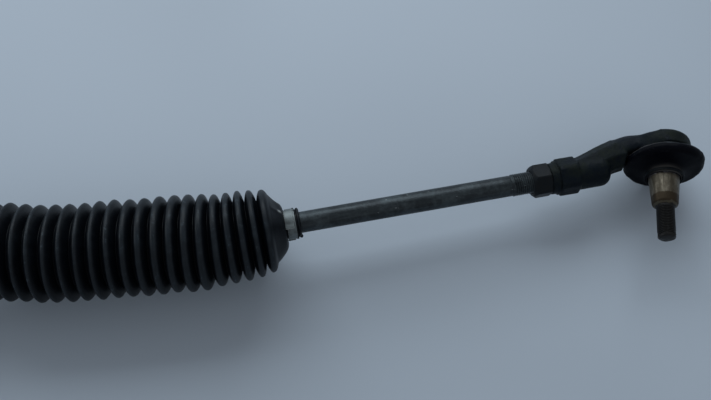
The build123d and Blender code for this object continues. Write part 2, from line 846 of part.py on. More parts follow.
with BuildPart() as yoke_liner:
    with BuildSketch(Plane(origin=gear_point, x_dir=-tooth_dir, z_dir=(1, 0, 0))):
        with BuildLine():
            CenterArc((0, 0), yoke_saddle_radius, -liner_half_angle, 2 * liner_half_angle)
            CenterArc((0, 0), liner_radius, -liner_half_angle, 2 * liner_half_angle)
            for turn in (-liner_half_angle, liner_half_angle):
                edge_turn = radians(turn)
                Line(
                    (liner_radius * cos(edge_turn), liner_radius * sin(edge_turn)),
                    (yoke_saddle_radius * cos(edge_turn), yoke_saddle_radius * sin(edge_turn)),
                )
        make_face()
    extrude(amount=yoke_radius * liner_reach, both=True)
save(yoke_liner, "yoke_liner")

with BuildPart() as yoke_spring:
    for disc in range(disc_count):
        disc_start = yoke_back - yoke_pocket_depth + disc * disc_pitch
        inner_rise, outer_rise = (0, disc_cone) if disc % 2 else (disc_cone, 0)
        disc_run = [
            (disc_start + inner_rise, disc_bore_radius),
            (disc_start + outer_rise, disc_radius),
            (disc_start + outer_rise + disc_thickness, disc_radius),
            (disc_start + inner_rise + disc_thickness, disc_bore_radius),
        ]
        revolve_profile(yoke_profile, yoke_axis, disc_run)
save(yoke_spring, "yoke_spring")

with BuildPart() as yoke_plug:
    plug_run = [
        (plug_front, disc_radius + 0.5),
        (plug_front, plug_radius - 1),
        (plug_front + 1, plug_radius),
        (plug_back - 1.5, plug_radius),
        (plug_back, plug_radius - 1.5),
        (plug_back, 0),
        (plug_front + plug_pocket_depth, 0),
        (plug_front + plug_pocket_depth, disc_radius + 0.5),
    ]
    revolve_profile(yoke_profile, yoke_axis, plug_run)
    with BuildSketch(Plane(origin=gear_point - tooth_dir * plug_back, x_dir=(1, 0, 0), z_dir=tooth_dir)):
        RegularPolygon(plug_hex / 2, 6, major_radius=False)
    extrude(amount=plug_hex_depth, mode=Mode.SUBTRACT)
save(yoke_plug, "yoke_plug")


def cut_nut(plane, profile, axis, start, flats, length, bore_radius):
    """A hexagonal nut with both rims chamfered, from a plane at its start."""
    corner = flats / sqrt(3)
    with BuildPart() as nut:
        with BuildSketch(plane):
            RegularPolygon(flats / 2, 6, major_radius=False)
            Circle(bore_radius, mode=Mode.SUBTRACT)
        extrude(amount=length)
        rim = (corner - flats / 2) * 1.2
        chamfer_run = [
            (start, 0),
            (start, corner - rim),
            (start + rim / 2, corner),
            (start + length - rim / 2, corner),
            (start + length, corner - rim),
            (start + length, 0),
        ]
        revolve_profile(profile, axis, chamfer_run, Mode.INTERSECT)
    return nut


locknut_plane = Plane(origin=gear_point - tooth_dir * yoke_boss_reach, x_dir=(1, 0, 0), z_dir=-tooth_dir)
yoke_locknut = cut_nut(
    locknut_plane, yoke_profile, yoke_axis, yoke_boss_reach, locknut_flats, locknut_height, plug_radius
)
save(yoke_locknut, "yoke_locknut")

# ---------------------------------------------------------------- inner ball joint
inner_station = inner_ball_span / 2
socket_start = inner_station - socket_back
seat_inner = inner_ball_radius + fit_clearance
seat_outer = seat_inner + inner_seat_thickness
socket_inner = seat_outer + fit_clearance
mouth = radians(socket_opening)
mouth_station = inner_station + socket_inner * cos(mouth)
mouth_radius = socket_inner * sin(mouth)
with BuildPart() as inner_socket:
    socket_run = [
        (socket_start - washer_thickness - socket_stud_length, 0),
        (socket_start - washer_thickness - socket_stud_length, socket_stud_radius - 1),
        (socket_start - washer_thickness - socket_stud_length + 1, socket_stud_radius),
        (socket_start, socket_stud_radius),
        (socket_start, socket_radius - 1),
        (socket_start + 1, socket_radius),
        (inner_station + 2, socket_radius),
        (inner_station + 5.5, socket_radius - 0.8),
        (mouth_station + 0.8, mouth_radius + 1.2),
        (mouth_station, mouth_radius),
        (mouth_station, 0),
    ]
    revolve_profile(rack_profile, rack_axis, socket_run)
    with Locations(inner_ball):
        Sphere(socket_inner, mode=Mode.SUBTRACT)
    with BuildSketch(rack_section(socket_start)):
        flat_offset = (socket_flats + socket_radius) / 2
        with Locations((0, flat_offset), (0, -flat_offset)):
            Rectangle(2 * socket_radius, socket_radius)
    extrude(amount=socket_flats_length, mode=Mode.SUBTRACT)
save_pair(inner_socket, "inner_socket")

with BuildPart() as lock_washer:
    with BuildSketch(rack_section(socket_start - washer_thickness)):
        Circle(washer_radius)
        Circle(socket_stud_radius, mode=Mode.SUBTRACT)
    extrude(amount=washer_thickness)
    # Two tabs folded over the flats of the socket
    with BuildSketch(rack_section(socket_start - washer_thickness)):
        tab_middle = socket_flats / 2 + fit_clearance + tab_thickness / 2
        with Locations((0, tab_middle), (0, -tab_middle)):
            Rectangle(tab_width, tab_thickness)
    extrude(amount=washer_thickness + tab_length)
save_pair(lock_washer, "lock_washer")

with BuildPart() as inner_seat:
    with BuildSketch(seat_profile):
        with BuildLine():
            seat_turn = seat_back_opening - seat_opening
            CenterArc((0, 0), seat_inner, seat_opening, seat_turn)
            CenterArc((0, 0), seat_outer, seat_opening, seat_turn)
            for turn in (seat_opening, seat_back_opening):
                edge_turn = radians(turn)
                Line(
                    (seat_inner * cos(edge_turn), seat_inner * sin(edge_turn)),
                    (seat_outer * cos(edge_turn), seat_outer * sin(edge_turn)),
                )
        make_face()
    revolve(axis=Axis(inner_ball, seat_dir))
save_pair(inner_seat, "inner_ball_seat")

# ---------------------------------------------------------------- inner tie rod and jam nut
nut_station = rod_reach - nut_set_back
thread_start = nut_station - thread_shown
end_start = nut_station + nut_length
rod_tip = end_start + thread_engagement
neck_joint = sqrt(inner_ball_radius**2 - rod_neck_radius**2)
with BuildPart() as tie_rod:
    with BuildSketch(rod_profile):
        with BuildLine():
            ThreePointArc((-inner_ball_radius, 0), (0, inner_ball_radius), (neck_joint, rod_neck_radius))
            Polyline(
                (neck_joint, rod_neck_radius),
                (neck_joint + 5, rod_neck_radius),
                (neck_joint + 14, rod_radius),
                (thread_start - 0.7, rod_radius),
                (thread_start, rod_thread_radius),
                (rod_tip - 1.5, rod_thread_radius),
                (rod_tip, rod_thread_radius - 1.5),
                (rod_tip, 0),
                (-inner_ball_radius, 0),
            )
        make_face()
    revolve(axis=rod_axis)
save_pair(tie_rod, "tie_rod")

jam_nut = cut_nut(
    rod_section(nut_station), rod_profile, rod_axis, nut_station, nut_flats, nut_length, rod_thread_radius
)
save_pair(jam_nut, "jam_nut")

# ---------------------------------------------------------------- tie rod end
boot_back = dust_boot_middle - dust_boot_depth / 2
boot_neck_outer = ring_groove_radius + dust_boot_wall
boot_lip_inner = taper_large_radius + slip
boot_lip_outer = boot_lip_inner + dust_boot_wall
boot_lip_start = stud_land_start + 0.4
boot_lip_end = boot_lip_start + boot_lip_length
with BuildPart() as tie_rod_end:
    # The threaded socket, with its hexagon
    end_socket_run = [
        (end_start, 0),
        (end_start, end_collar_radius),
        (end_start + end_collar_length, end_collar_radius),
        (end_start + end_collar_length + 1, end_socket_radius),
        (end_start + end_socket_length, end_socket_radius),
        (end_start + end_socket_length, 0),
    ]
    revolve_profile(rod_profile, rod_axis, end_socket_run)
    fillet(tie_rod_end.edges().filter_by(GeomType.CIRCLE).sort_by(rod_axis)[-1], end_socket_radius * 0.6)
    with BuildSketch(rod_section(end_start + end_hex_start)):
        RegularPolygon(end_hex / 2, 6, major_radius=False)
        Circle(end_hex_crown, mode=Mode.INTERSECT)
    extrude(amount=end_hex_length)
    # The neck, which swings back from the rod axis to the closed side of the head
    for set_back, offset, half_width, half_height in neck_stations:
        with BuildSketch(
            Plane(
                origin=outer_ball - rod_dir * set_back - stud_square_dir * offset,
                x_dir=head_up_dir,
                z_dir=rod_dir,
            )
        ):
            corners = [(high * half_height, wide * half_width) for high, wide in neck_facets]
            Polygon(*corners, align=None)
    loft()
    # The head, whose rim is rolled over the cover plate
    with BuildSketch(head_profile) as head_section:
        with BuildLine():
            rim_middle = (head_rim_round - head_back, head_radius - head_rim_round)
            CenterArc(rim_middle, head_rim_round, 90, 90)
            Polyline(
                (head_rim_round - head_back, head_radius),
                (ring_groove_start, head_radius),
                (ring_groove_start, ring_groove_radius),
                (ring_groove_end, ring_groove_radius),
                (ring_groove_end, head_lip_radius),
                (head_front - 0.5, head_lip_radius),
                (head_front, head_lip_radius - 0.5),
                (head_front, 0),
                (-head_back, 0),
                (-head_back, head_radius - head_rim_round),
            )
        make_face()
    revolve(head_section.sketch, axis=head_axis)
    # Room for the dust boot and its ring, and the bore for the ball and its seat
    boot_room = [
        (ring_groove_start, ring_groove_radius),
        (ring_groove_start, boot_neck_outer + boot_ring_wire + dust_boot_gap),
        (boot_back - dust_boot_gap, boot_neck_outer + boot_ring_wire + dust_boot_gap),
        (boot_back - dust_boot_gap, dust_boot_radius + dust_boot_gap),
        (boot_lip_end, dust_boot_radius + dust_boot_gap),
        (boot_lip_end, head_lip_radius),
        (ring_groove_end, head_lip_radius),
        (ring_groove_end, ring_groove_radius),
    ]
    revolve_profile(head_profile, head_axis, boot_room, Mode.SUBTRACT)
    head_bore = [
        (-head_back, 0),
        (-head_back, head_bore_radius - 2.5),
        (-head_back + cover_rim, head_bore_radius - 2.5),
        (-head_back + cover_rim, head_bore_radius),
        (head_mouth_start - 2, head_bore_radius),
        (head_mouth_start, head_mouth_radius),
        (head_front, head_mouth_radius + 2.4),
        (head_front, 0),
    ]
    revolve_profile(head_profile, head_axis, head_bore, Mode.SUBTRACT)
    extrude_circle(rod_section(end_start), rod_thread_radius, thread_engagement + 3, Mode.SUBTRACT)
save_pair(tie_rod_end, "tie_rod_end")

with BuildPart() as outer_seat:
    outer_seat_run = [
        (-seat_back, 0),
        (-seat_back, head_bore_radius),
        (head_mouth_start - 2, head_bore_radius),
        (head_mouth_start - 0.2, head_mouth_radius + 0.3),
        (head_mouth_start - 0.2, 0),
    ]
    revolve_profile(head_profile, head_axis, outer_seat_run)
    with Locations(outer_ball):
        Sphere(outer_ball_radius + fit_clearance, mode=Mode.SUBTRACT)
save_pair(outer_seat, "outer_ball_seat")

cover_back = -head_back + cover_rim
cover_front = cover_back + cover_thickness
spring_inner, spring_outer = head_bore_radius - 9, head_bore_radius - 1.5
seat_spring = turned(
    head_profile,
    head_axis,
    [
        (-seat_back, spring_inner),
        (-seat_back - spring_thickness, spring_inner),
        (cover_front, spring_outer),
        (cover_front + spring_thickness, spring_outer),
    ],
)
save_pair(seat_spring, "seat_spring")

cover_plate = turned(
    head_profile,
    head_axis,
    [
        (cover_front, 0),
        (cover_front, head_bore_radius),
        (cover_back, head_bore_radius),
        (cover_back, head_bore_radius - 6),
        (cover_back - 0.8, head_bore_radius - 8),
        (cover_back - 0.8, 0),
    ],
)
save_pair(cover_plate, "cover_plate")

# ---------------------------------------------------------------- ball stud
ball_neck = sqrt(outer_ball_radius**2 - stud_neck_radius**2)
ball_flat = sqrt(outer_ball_radius**2 - (outer_ball_radius / 2) ** 2)
with BuildPart() as ball_stud:
    with BuildSketch(stud_profile):
        with BuildLine():
            ThreePointArc(
                (-ball_flat, outer_ball_radius / 2), (0, outer_ball_radius), (ball_neck, stud_neck_radius)
            )
            Polyline(
                (ball_neck, stud_neck_radius),
                (stud_land_start - 2, stud_neck_radius),
                (stud_land_start - 0.4, taper_large_radius - 0.4),
                (stud_land_start, taper_large_radius),
                (taper_start, taper_large_radius),
                (taper_end, taper_small_radius),
                (taper_end + 1.6, stud_thread_radius + 0.3),
                (taper_end + 1.6, stud_thread_radius),
                (stud_reach - 1.5, stud_thread_radius),
                (stud_reach, stud_thread_radius - 1.5),
                (stud_reach, 0),
                (-ball_flat, 0),
                (-ball_flat, outer_ball_radius / 2),
            )
        make_face()
    revolve(axis=stud_axis)
save_pair(ball_stud, "ball_stud")

# ---------------------------------------------------------------- dust boot
def boot_section(distance):
    """A plane that turns from square to the head to square to the stud as it moves outwards."""
    share = smooth((distance - ring_groove_end) / (boot_lip_start - ring_groove_end))
    along = (head_dir * (1 - share) + stud_dir * share).normalized()
    return Plane(origin=outer_ball + along * distance, x_dir=head_up_dir, z_dir=along)


with BuildPart() as dust_boot:
    bulge = dust_boot_depth / 2
    boot_face = head_front + dust_boot_face
    boot_outside = [
        (ring_groove_start + slip, boot_neck_outer),
        (boot_back - 0.2, boot_neck_outer),
    ]
    for turn in range(0, 181, 30):
        rise = bulge * sin(radians(turn))
        boot_outside.append((dust_boot_middle - bulge * cos(radians(turn)), dust_boot_radius - bulge + rise))
    boot_outside += [
        (boot_face + 1.2, head_lip_radius + 0.6),
        (boot_face + 1.6, boot_lip_outer + 2.4),
        (boot_lip_start - 2.4, boot_lip_outer + 0.6),
        (boot_lip_start - 1.6, boot_lip_outer),
        (boot_lip_end, boot_lip_outer),
    ]
    loft_rings(boot_section, boot_outside)
    hollow = bulge - dust_boot_wall
    boot_inside = [
        (ring_groove_start + slip, ring_groove_radius),
        (ring_groove_end - slip, ring_groove_radius),
        (ring_groove_end - slip / 2, head_lip_radius + slip),
    ]
    for turn in range(0, 181, 30):
        rise = hollow * sin(radians(turn))
        boot_inside.append((dust_boot_middle - hollow * cos(radians(turn)), dust_boot_radius - bulge + rise))
    boot_inside += [
        (boot_face, head_lip_radius + slip),
        (boot_face + 0.2, boot_lip_outer + 2.0),
        (boot_lip_start - 3.4, boot_lip_inner),
        (boot_lip_end, boot_lip_inner),
    ]
    loft_rings(boot_section, boot_inside, Mode.SUBTRACT)
save_pair(dust_boot, "dust_boot")

ring_middle = (ring_groove_start + boot_back) / 2
large_ring_plane = boot_section(ring_middle - boot_ring_width / 2)
large_ring = band(large_ring_plane, boot_neck_outer, boot_ring_wire, boot_ring_width)
save_pair(large_ring, "boot_ring_large")
small_ring_start = boot_lip_end - boot_ring_width - 0.4
small_ring = band(boot_section(small_ring_start), boot_lip_outer, boot_ring_wire, boot_ring_width)
save_pair(small_ring, "boot_ring_small")

# ---------------------------------------------------------------- bellows and their clamps
bellows_start = half_housing - bellows_seat - inner_station
fold_start = half_housing + 2 - inner_station


def bellows_section(distance):
    """A plane square to the bellows: on the rack axis, round a bend at the ball, then on the rod."""
    before, after = Vector(1, 0, 0), rod_dir
    if distance < -bellows_bend_length:
        return Plane(origin=inner_ball + before * distance, x_dir=(0, 1, 0), z_dir=before)
    if distance > bellows_bend_length:
        return Plane(origin=inner_ball + after * distance, x_dir=head_up_dir, z_dir=after)
    share = (distance / bellows_bend_length + 1) / 2
    middle = (after * share**2 - before * (1 - share) ** 2) * bellows_bend_length
    along = (before * (1 - share) + after * share).normalized()
    return Plane(origin=inner_ball + middle, x_dir=(0, 1, 0), z_dir=along)


def fold_weight(place):
    """How wide a fold is, as a share of the narrowest, at a place between the first and the last."""
    distance = fold_start + place * (cone_start - fold_start)
    return 1 + bellows_stretch * exp(-((distance / bellows_stretch_length) ** 2))


half_folds = 2 * bellows_folds
weights = [fold_weight((half + 0.5) / half_folds) for half in range(half_folds)]
fold_stations = [fold_start]
for weight in weights:
    fold_stations.append(fold_stations[-1] + weight * (cone_start - fold_start) / sum(weights))
outside = [
    (bellows_start, tube_radius + bellows_wall),
    (fold_start - 2, tube_radius + bellows_wall),
]
for half, distance in enumerate(fold_stations):
    narrowed = bellows_taper * smooth(1 - (cone_start - distance) / bellows_taper_length)
    crest = half % 2 == 1
    outside.append((distance, (bellows_crest_radius if crest else bellows_root_radius) - narrowed))
outside[-1] = (cone_start, cone_large_radius)
with BuildPart() as bellows:
    small_end = [
        (cone_end, cone_radius),
        (cone_end + 1.2, small_neck_radius + 0.8),
        (small_clip_start - 0.4, small_neck_radius + 0.8),
        (small_clip_start - 0.2, small_neck_radius),
        (small_lip_end - 1, small_lip_radius),
        (small_lip_end, small_lip_radius - 0.6),
    ]
    loft_rings(bellows_section, outside + small_end)
    bore_radius = bellows_root_radius - bellows_wall
    inside = [
        (bellows_start, tube_radius),
        (fold_start - 2, tube_radius),
        (fold_start, bore_radius),
        (-bellows_bend_length, bore_radius),
        (-bellows_bend_length / 2, bore_radius),
        (0, bore_radius),
        (bellows_bend_length / 2, bore_radius),
        (bellows_bend_length, bore_radius - bellows_taper * 0.3),
        (cone_start - 4, bore_radius - bellows_taper),
        (cone_end - 2, cone_radius - bellows_wall),
        (cone_end + 1, rod_radius + slip),
        (small_lip_end, rod_radius + slip),
    ]
    loft_rings(bellows_section, inside, Mode.SUBTRACT)
save_pair(bellows, "bellows")

large_clamp = band(
    bellows_section(half_housing - clip_groove_inset - clip_groove_width - inner_station),
    tube_radius + bellows_wall,
    clip_band,
    clip_groove_width,
)
save_pair(large_clamp, "bellows_large_clamp")
small_clamp = band(rod_section(small_clip_start), small_neck_radius, clip_band, small_clip_width)
save_pair(small_clamp, "bellows_small_clamp")
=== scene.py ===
"""Dresses a rack-and-pinion steering gear: rubber bellows and boots, forged tie rod ends and finishes.

All lengths are in metres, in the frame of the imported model. The right-hand tie rod is worked out from
its joints, and each left-hand piece is the mirror image of the right-hand one.
"""

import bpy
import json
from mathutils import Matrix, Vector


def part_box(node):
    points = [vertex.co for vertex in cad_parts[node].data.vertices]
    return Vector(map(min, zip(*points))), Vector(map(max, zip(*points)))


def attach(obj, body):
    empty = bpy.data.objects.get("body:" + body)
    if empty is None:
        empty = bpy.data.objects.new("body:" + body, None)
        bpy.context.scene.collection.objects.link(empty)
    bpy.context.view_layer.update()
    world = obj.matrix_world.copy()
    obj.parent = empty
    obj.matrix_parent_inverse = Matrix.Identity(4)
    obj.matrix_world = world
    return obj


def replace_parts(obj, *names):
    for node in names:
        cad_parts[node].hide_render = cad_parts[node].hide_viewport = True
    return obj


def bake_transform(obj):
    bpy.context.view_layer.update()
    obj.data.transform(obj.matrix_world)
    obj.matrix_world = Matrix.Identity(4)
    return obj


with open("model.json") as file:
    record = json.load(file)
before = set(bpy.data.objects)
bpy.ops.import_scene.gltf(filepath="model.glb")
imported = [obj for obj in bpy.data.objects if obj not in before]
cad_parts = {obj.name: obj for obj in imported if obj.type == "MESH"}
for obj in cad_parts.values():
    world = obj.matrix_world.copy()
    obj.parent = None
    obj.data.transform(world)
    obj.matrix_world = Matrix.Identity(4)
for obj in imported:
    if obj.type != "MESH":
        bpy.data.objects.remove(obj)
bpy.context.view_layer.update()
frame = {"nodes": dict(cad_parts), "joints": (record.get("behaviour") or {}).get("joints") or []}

import json
import logging
import math
import random
from dataclasses import dataclass, field
from enum import Enum

import bmesh
import bpy
from mathutils import Vector, noise

Colour = tuple[float, float, float]
Socket = bpy.types.NodeSocket

MM = 0.001
TAU = 2 * math.pi
EDGE_SAMPLES = 6
SEED = 100
log = logging.getLogger("steering_gear")


class Side(Enum):
    """Which tie rod a piece belongs to. The value is the sign of X on that side."""

    RIGHT = 1
    LEFT = -1

    @property
    def suffix(self) -> str:
        """The end of the names of this side's pieces and bodies."""
        return self.name.lower()


# ---------------------------------------------------------------- axes


@dataclass(frozen=True)
class Line:
    """An axis in space, with the direction from which angles round it are measured.

    Args:
        origin: A point of the axis.
        along: The unit direction of the axis.
        up: A unit direction square to it.
    """

    origin: Vector
    along: Vector
    up: Vector

    @property
    def beside(self) -> Vector:
        """The direction a quarter turn on from up."""
        return self.along.cross(self.up)

    def at(self, distance: float, radius: float = 0.0, angle: float = 0.0) -> Vector:
        """Finds a point by its place along the line.

        Args:
            distance: How far along the line the point is.
            radius: How far it is from the line.
            angle: Its turn round the line from up, in radians.

        Returns:
            The point in the frame of the model.
        """
        out = self.up * math.cos(angle) + self.beside * math.sin(angle)
        return self.origin + self.along * distance + out * radius


def joint(name: str) -> dict:
    """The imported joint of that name."""
    return next(entry for entry in frame["joints"] if entry["name"] == name)


@dataclass(frozen=True)
class TieRodAxes:
    """The axes of the right-hand tie rod, read from its joints.

    Args:
        rod: From the inner ball to the outer ball.
        head: The bore of the tie rod end, towards its open side.
        stud: The ball stud.
        rack: The rack, from the inner ball outwards.
        reach: The distance between the two balls.
    """

    rod: Line
    head: Line
    stud: Line
    rack: Line
    reach: float

    @classmethod
    def from_joints(cls, head_cant: float, stud_tilt: float) -> "TieRodAxes":
        """Works the axes out.

        Args:
            head_cant: How far the head leans back from square to the rod, in degrees.
            stud_tilt: How far the stud leans back further, in degrees.

        Returns:
            The axes of the right-hand side.
        """
        inner = Vector(joint("tie_rod_yaw_right")["pos_m"])
        outer = Vector(joint("stud_tilt_right")["pos_m"])
        up = -Vector(joint("stud_tilt_right")["axis"]).normalized()
        stud = Vector(joint("stud_spin_right")["axis"]).normalized()
        rod = (outer - inner).normalized()
        cant = math.radians(head_cant)
        square = (stud + rod * math.sin(cant + math.radians(stud_tilt))).normalized()
        head = square * math.cos(cant) - rod * math.sin(cant)
        return cls(
            rod=Line(inner, rod, up),
            head=Line(outer, head, up),
            stud=Line(outer, stud, up),
            rack=Line(inner, Vector((1, 0, 0)), Vector((0, 0, 1))),
            reach=(outer - inner).length,
        )


def smooth(share: float) -> float:
    """Rises from 0 to 1 with level ends as its argument does so."""
    held = min(1.0, max(0.0, share))
    return held * held * (3 - 2 * held)


def hump(value: float, middle: float, width: float) -> float:
    """A bell curve of height 1 at the middle."""
    return math.exp(-(((value - middle) / width) ** 2))


def turn_hump(angle: float, middle: float, width: float) -> float:
    """A bell curve round a circle, with all angles in radians."""
    apart = (angle - middle + math.pi) % TAU - math.pi
    return math.exp(-((apart / width) ** 2))


def turns(count: int) -> list[float]:
    """Angles spaced evenly round a circle, in radians."""
    return [TAU * step / count for step in range(count)]


def mirrored(point: Vector, side: Side) -> Vector:
    """The point itself on the right, and its mirror image on the left."""
    return Vector((point.x * side.value, point.y, point.z))


# ---------------------------------------------------------------- meshes


@dataclass
class Draft:
    """The vertices, faces and marks of a piece while it is being made.

    Args:
        points: The vertices made so far.
        faces: The faces made so far, as indices of vertices.
        marks: Named values, one for each vertex, that the finish reads.
    """

    points: list[Vector] = field(default_factory=list)
    faces: list[tuple[int, ...]] = field(default_factory=list)
    marks: dict[str, list[float]] = field(default_factory=dict)

    def ring(self, points: list[Vector], **marks: float | list[float]) -> range:
        """Adds a ring of vertices.

        Args:
            points: The places of the vertices, in order round the ring.
            **marks: Values that the whole ring has, or one for each of its vertices.

        Returns:
            The indices of the new vertices.
        """
        first = len(self.points)
        for name in marks:
            self.marks.setdefault(name, [0.0] * first)
        self.points += points
        for name, values in self.marks.items():
            given = marks.get(name, 0.0)
            values += given if isinstance(given, list) else [given] * len(points)
        return range(first, first + len(points))

    def bridge(self, one: range, other: range) -> None:
        """Joins two rings by a band of quads.

        Args:
            one: The ring that comes first.
            other: The next ring, with as many vertices.
        """
        for place in range(len(one)):
            after = (place + 1) % len(one)
            self.faces.append((one[place], one[after], other[after], other[place]))

    def bands(self, rings: list[range], closed: bool = True) -> None:
        """Joins each ring to the next.

        Args:
            rings: The rings in order.
            closed: True where the last one is joined to the first.
        """
        for one, other in zip(rings, rings[1:] + (rings[:1] if closed else [])):
            self.bridge(one, other)

    def fan(self, ring: range, centre: Vector, facing_back: bool, **marks: float) -> None:
        """Closes a ring by triangles to a middle vertex.

        Args:
            ring: The ring to close.
            centre: The place of the middle vertex.
            facing_back: True where the cap faces the start of its line.
            **marks: Values of the middle vertex.
        """
        middle = self.ring([centre], **marks)[0]
        for place, vertex in enumerate(ring):
            after = ring[(place + 1) % len(ring)]
            self.faces.append((after, vertex, middle) if facing_back else (vertex, after, middle))

    def finish(self, name: str, side: Side, material: bpy.types.Material, crease: float = 40.0) -> bpy.types.Object:
        """Turns the draft into an object of the scene.

        Args:
            name: The name of the piece, without its side.
            side: The side that it is for. The left gets the mirror image.
            material: Its finish.
            crease: Edges sharper than this angle, in degrees, stay sharp.

        Returns:
            The new object, in the frame of the model.
        """
        faces = [face[::-1] for face in self.faces] if side is Side.LEFT else self.faces
        mesh = bpy.data.meshes.new(f"{name}_{side.suffix}")
        mesh.from_pydata([mirrored(point, side) for point in self.points], [], faces)
        for mark, values in self.marks.items():
            mesh.attributes.new(mark, "FLOAT", "POINT").data.foreach_set("value", values)
        return place_mesh(mesh, mesh.name, material, crease)


def place_mesh(
    mesh: bpy.types.Mesh, name: str, material: bpy.types.Material, crease: float
) -> bpy.types.Object:
    """Puts a finished mesh in the scene.

    Args:
        mesh: The mesh, in the frame of the model.
        name: The name of the piece.
        material: Its finish.
        crease: Edges sharper than this angle, in degrees, stay sharp.

    Returns:
        The new object.
    """
    mesh.materials.clear()
    mesh.materials.append(material)
    mesh.shade_smooth()
    mesh.set_sharp_from_angle(angle=math.radians(crease))
    mesh.validate()
    piece = bpy.data.objects.new(name, mesh)
    bpy.context.scene.collection.objects.link(piece)
    return piece


@dataclass(frozen=True)
class Thread:
    """A screw thread cut into a turned bar.

    Args:
        start: Where it starts along the bar.
        end: Where it ends.
        pitch: The distance from one turn to the next.
        depth: How deep it is cut.
        steepness: How steeply its flanks fall.
        tops: How much of its tops is flat.
    """

    start: float
    end: float
    pitch: float
    depth: float
    steepness: float = 1.3
    tops: float = 0.15

    def cut(self, distance: float, angle: float) -> float:
        """How far the thread lies under the surface.

        Args:
            distance: The place along the bar.
            angle: The turn round it, in radians.

        Returns:
            The depth of the cut there.
        """
        phase = (distance / self.pitch - angle / TAU) % 1.0
        flank = min(1.0, max(0.0, self.steepness * abs(2 * phase - 1) - self.tops))
        fade = min(distance - self.start, self.end - distance) / self.pitch
        return self.depth * flank * smooth(fade)


@dataclass(frozen=True)
class TurnedBar:
    """A bar turned on a lathe, with a thread on a stretch of it.

    Args:
        line: The axis of the bar.
        profile: The outline, as (distance, radius) points.
        thread: The thread that is cut on it.
        segments: How many vertices go round it.
        roughness: How uneven the surface is.
        steps_per_turn: How many rings a turn of the thread gets.
        pace: How far apart the other rings lie.
        skin_scale: How fine the unevenness is.
        dent_scale: How fine the dents of a battered end are.
        wear_ramp: Over what length the dents reach their depth.
        least_radius: The smallest radius of a ring.
    """

    line: Line
    profile: list[tuple[float, float]]
    thread: Thread
    segments: int = 72
    roughness: float = 0.00004
    steps_per_turn: int = 10
    pace: float = 8 * MM
    skin_scale: float = 140.0
    dent_scale: float = 260.0
    wear_ramp: float = 2.5 * MM
    least_radius: float = MM / 5

    def stations(self) -> list[tuple[float, float]]:
        """The rings of the bar as (distance, radius), with close ones along the thread."""
        rings = [self.profile[0]]
        for (start, near), (end, far) in zip(self.profile, self.profile[1:]):
            threaded = self.thread.start - MM < start and end < self.thread.end + MM
            pace = self.thread.pitch / self.steps_per_turn if threaded else self.pace
            count = max(1, round(abs(end - start) / pace))
            for step in range(1, count + 1):
                share = step / count
                rings.append((start + (end - start) * share, near + (far - near) * share))
        return rings

    def draft(self, wear_start: float = 1e9, wear_depth: float = 0.0) -> Draft:
        """Makes the bar's mesh.

        Args:
            wear_start: Beyond this distance the end of the bar is battered.
            wear_depth: How deep the dents there are.

        Returns:
            The draft, marked with "along", the distance in metres.
        """
        made = Draft()
        last = None
        for distance, radius in self.stations():
            battered = smooth((distance - wear_start) / self.wear_ramp) * wear_depth
            points = []
            for angle in turns(self.segments):
                surface = self.line.at(distance, radius, angle)
                uneven = noise.noise(surface * self.skin_scale) * self.roughness
                dent = battered * noise.noise(surface * self.dent_scale + Vector((3, 7, 1)))
                height = radius - self.thread.cut(distance, angle) + uneven + dent
                points.append(self.line.at(distance, max(height, self.least_radius), angle))
            ring = made.ring(points, along=distance)
            if last is None:
                made.fan(ring, self.line.at(distance), True, along=distance)
            else:
                made.bridge(last, ring)
            last = ring
        made.fan(last, self.line.at(self.profile[-1][0]), False, along=self.profile[-1][0])
        return made


# ---------------------------------------------------------------- shader building


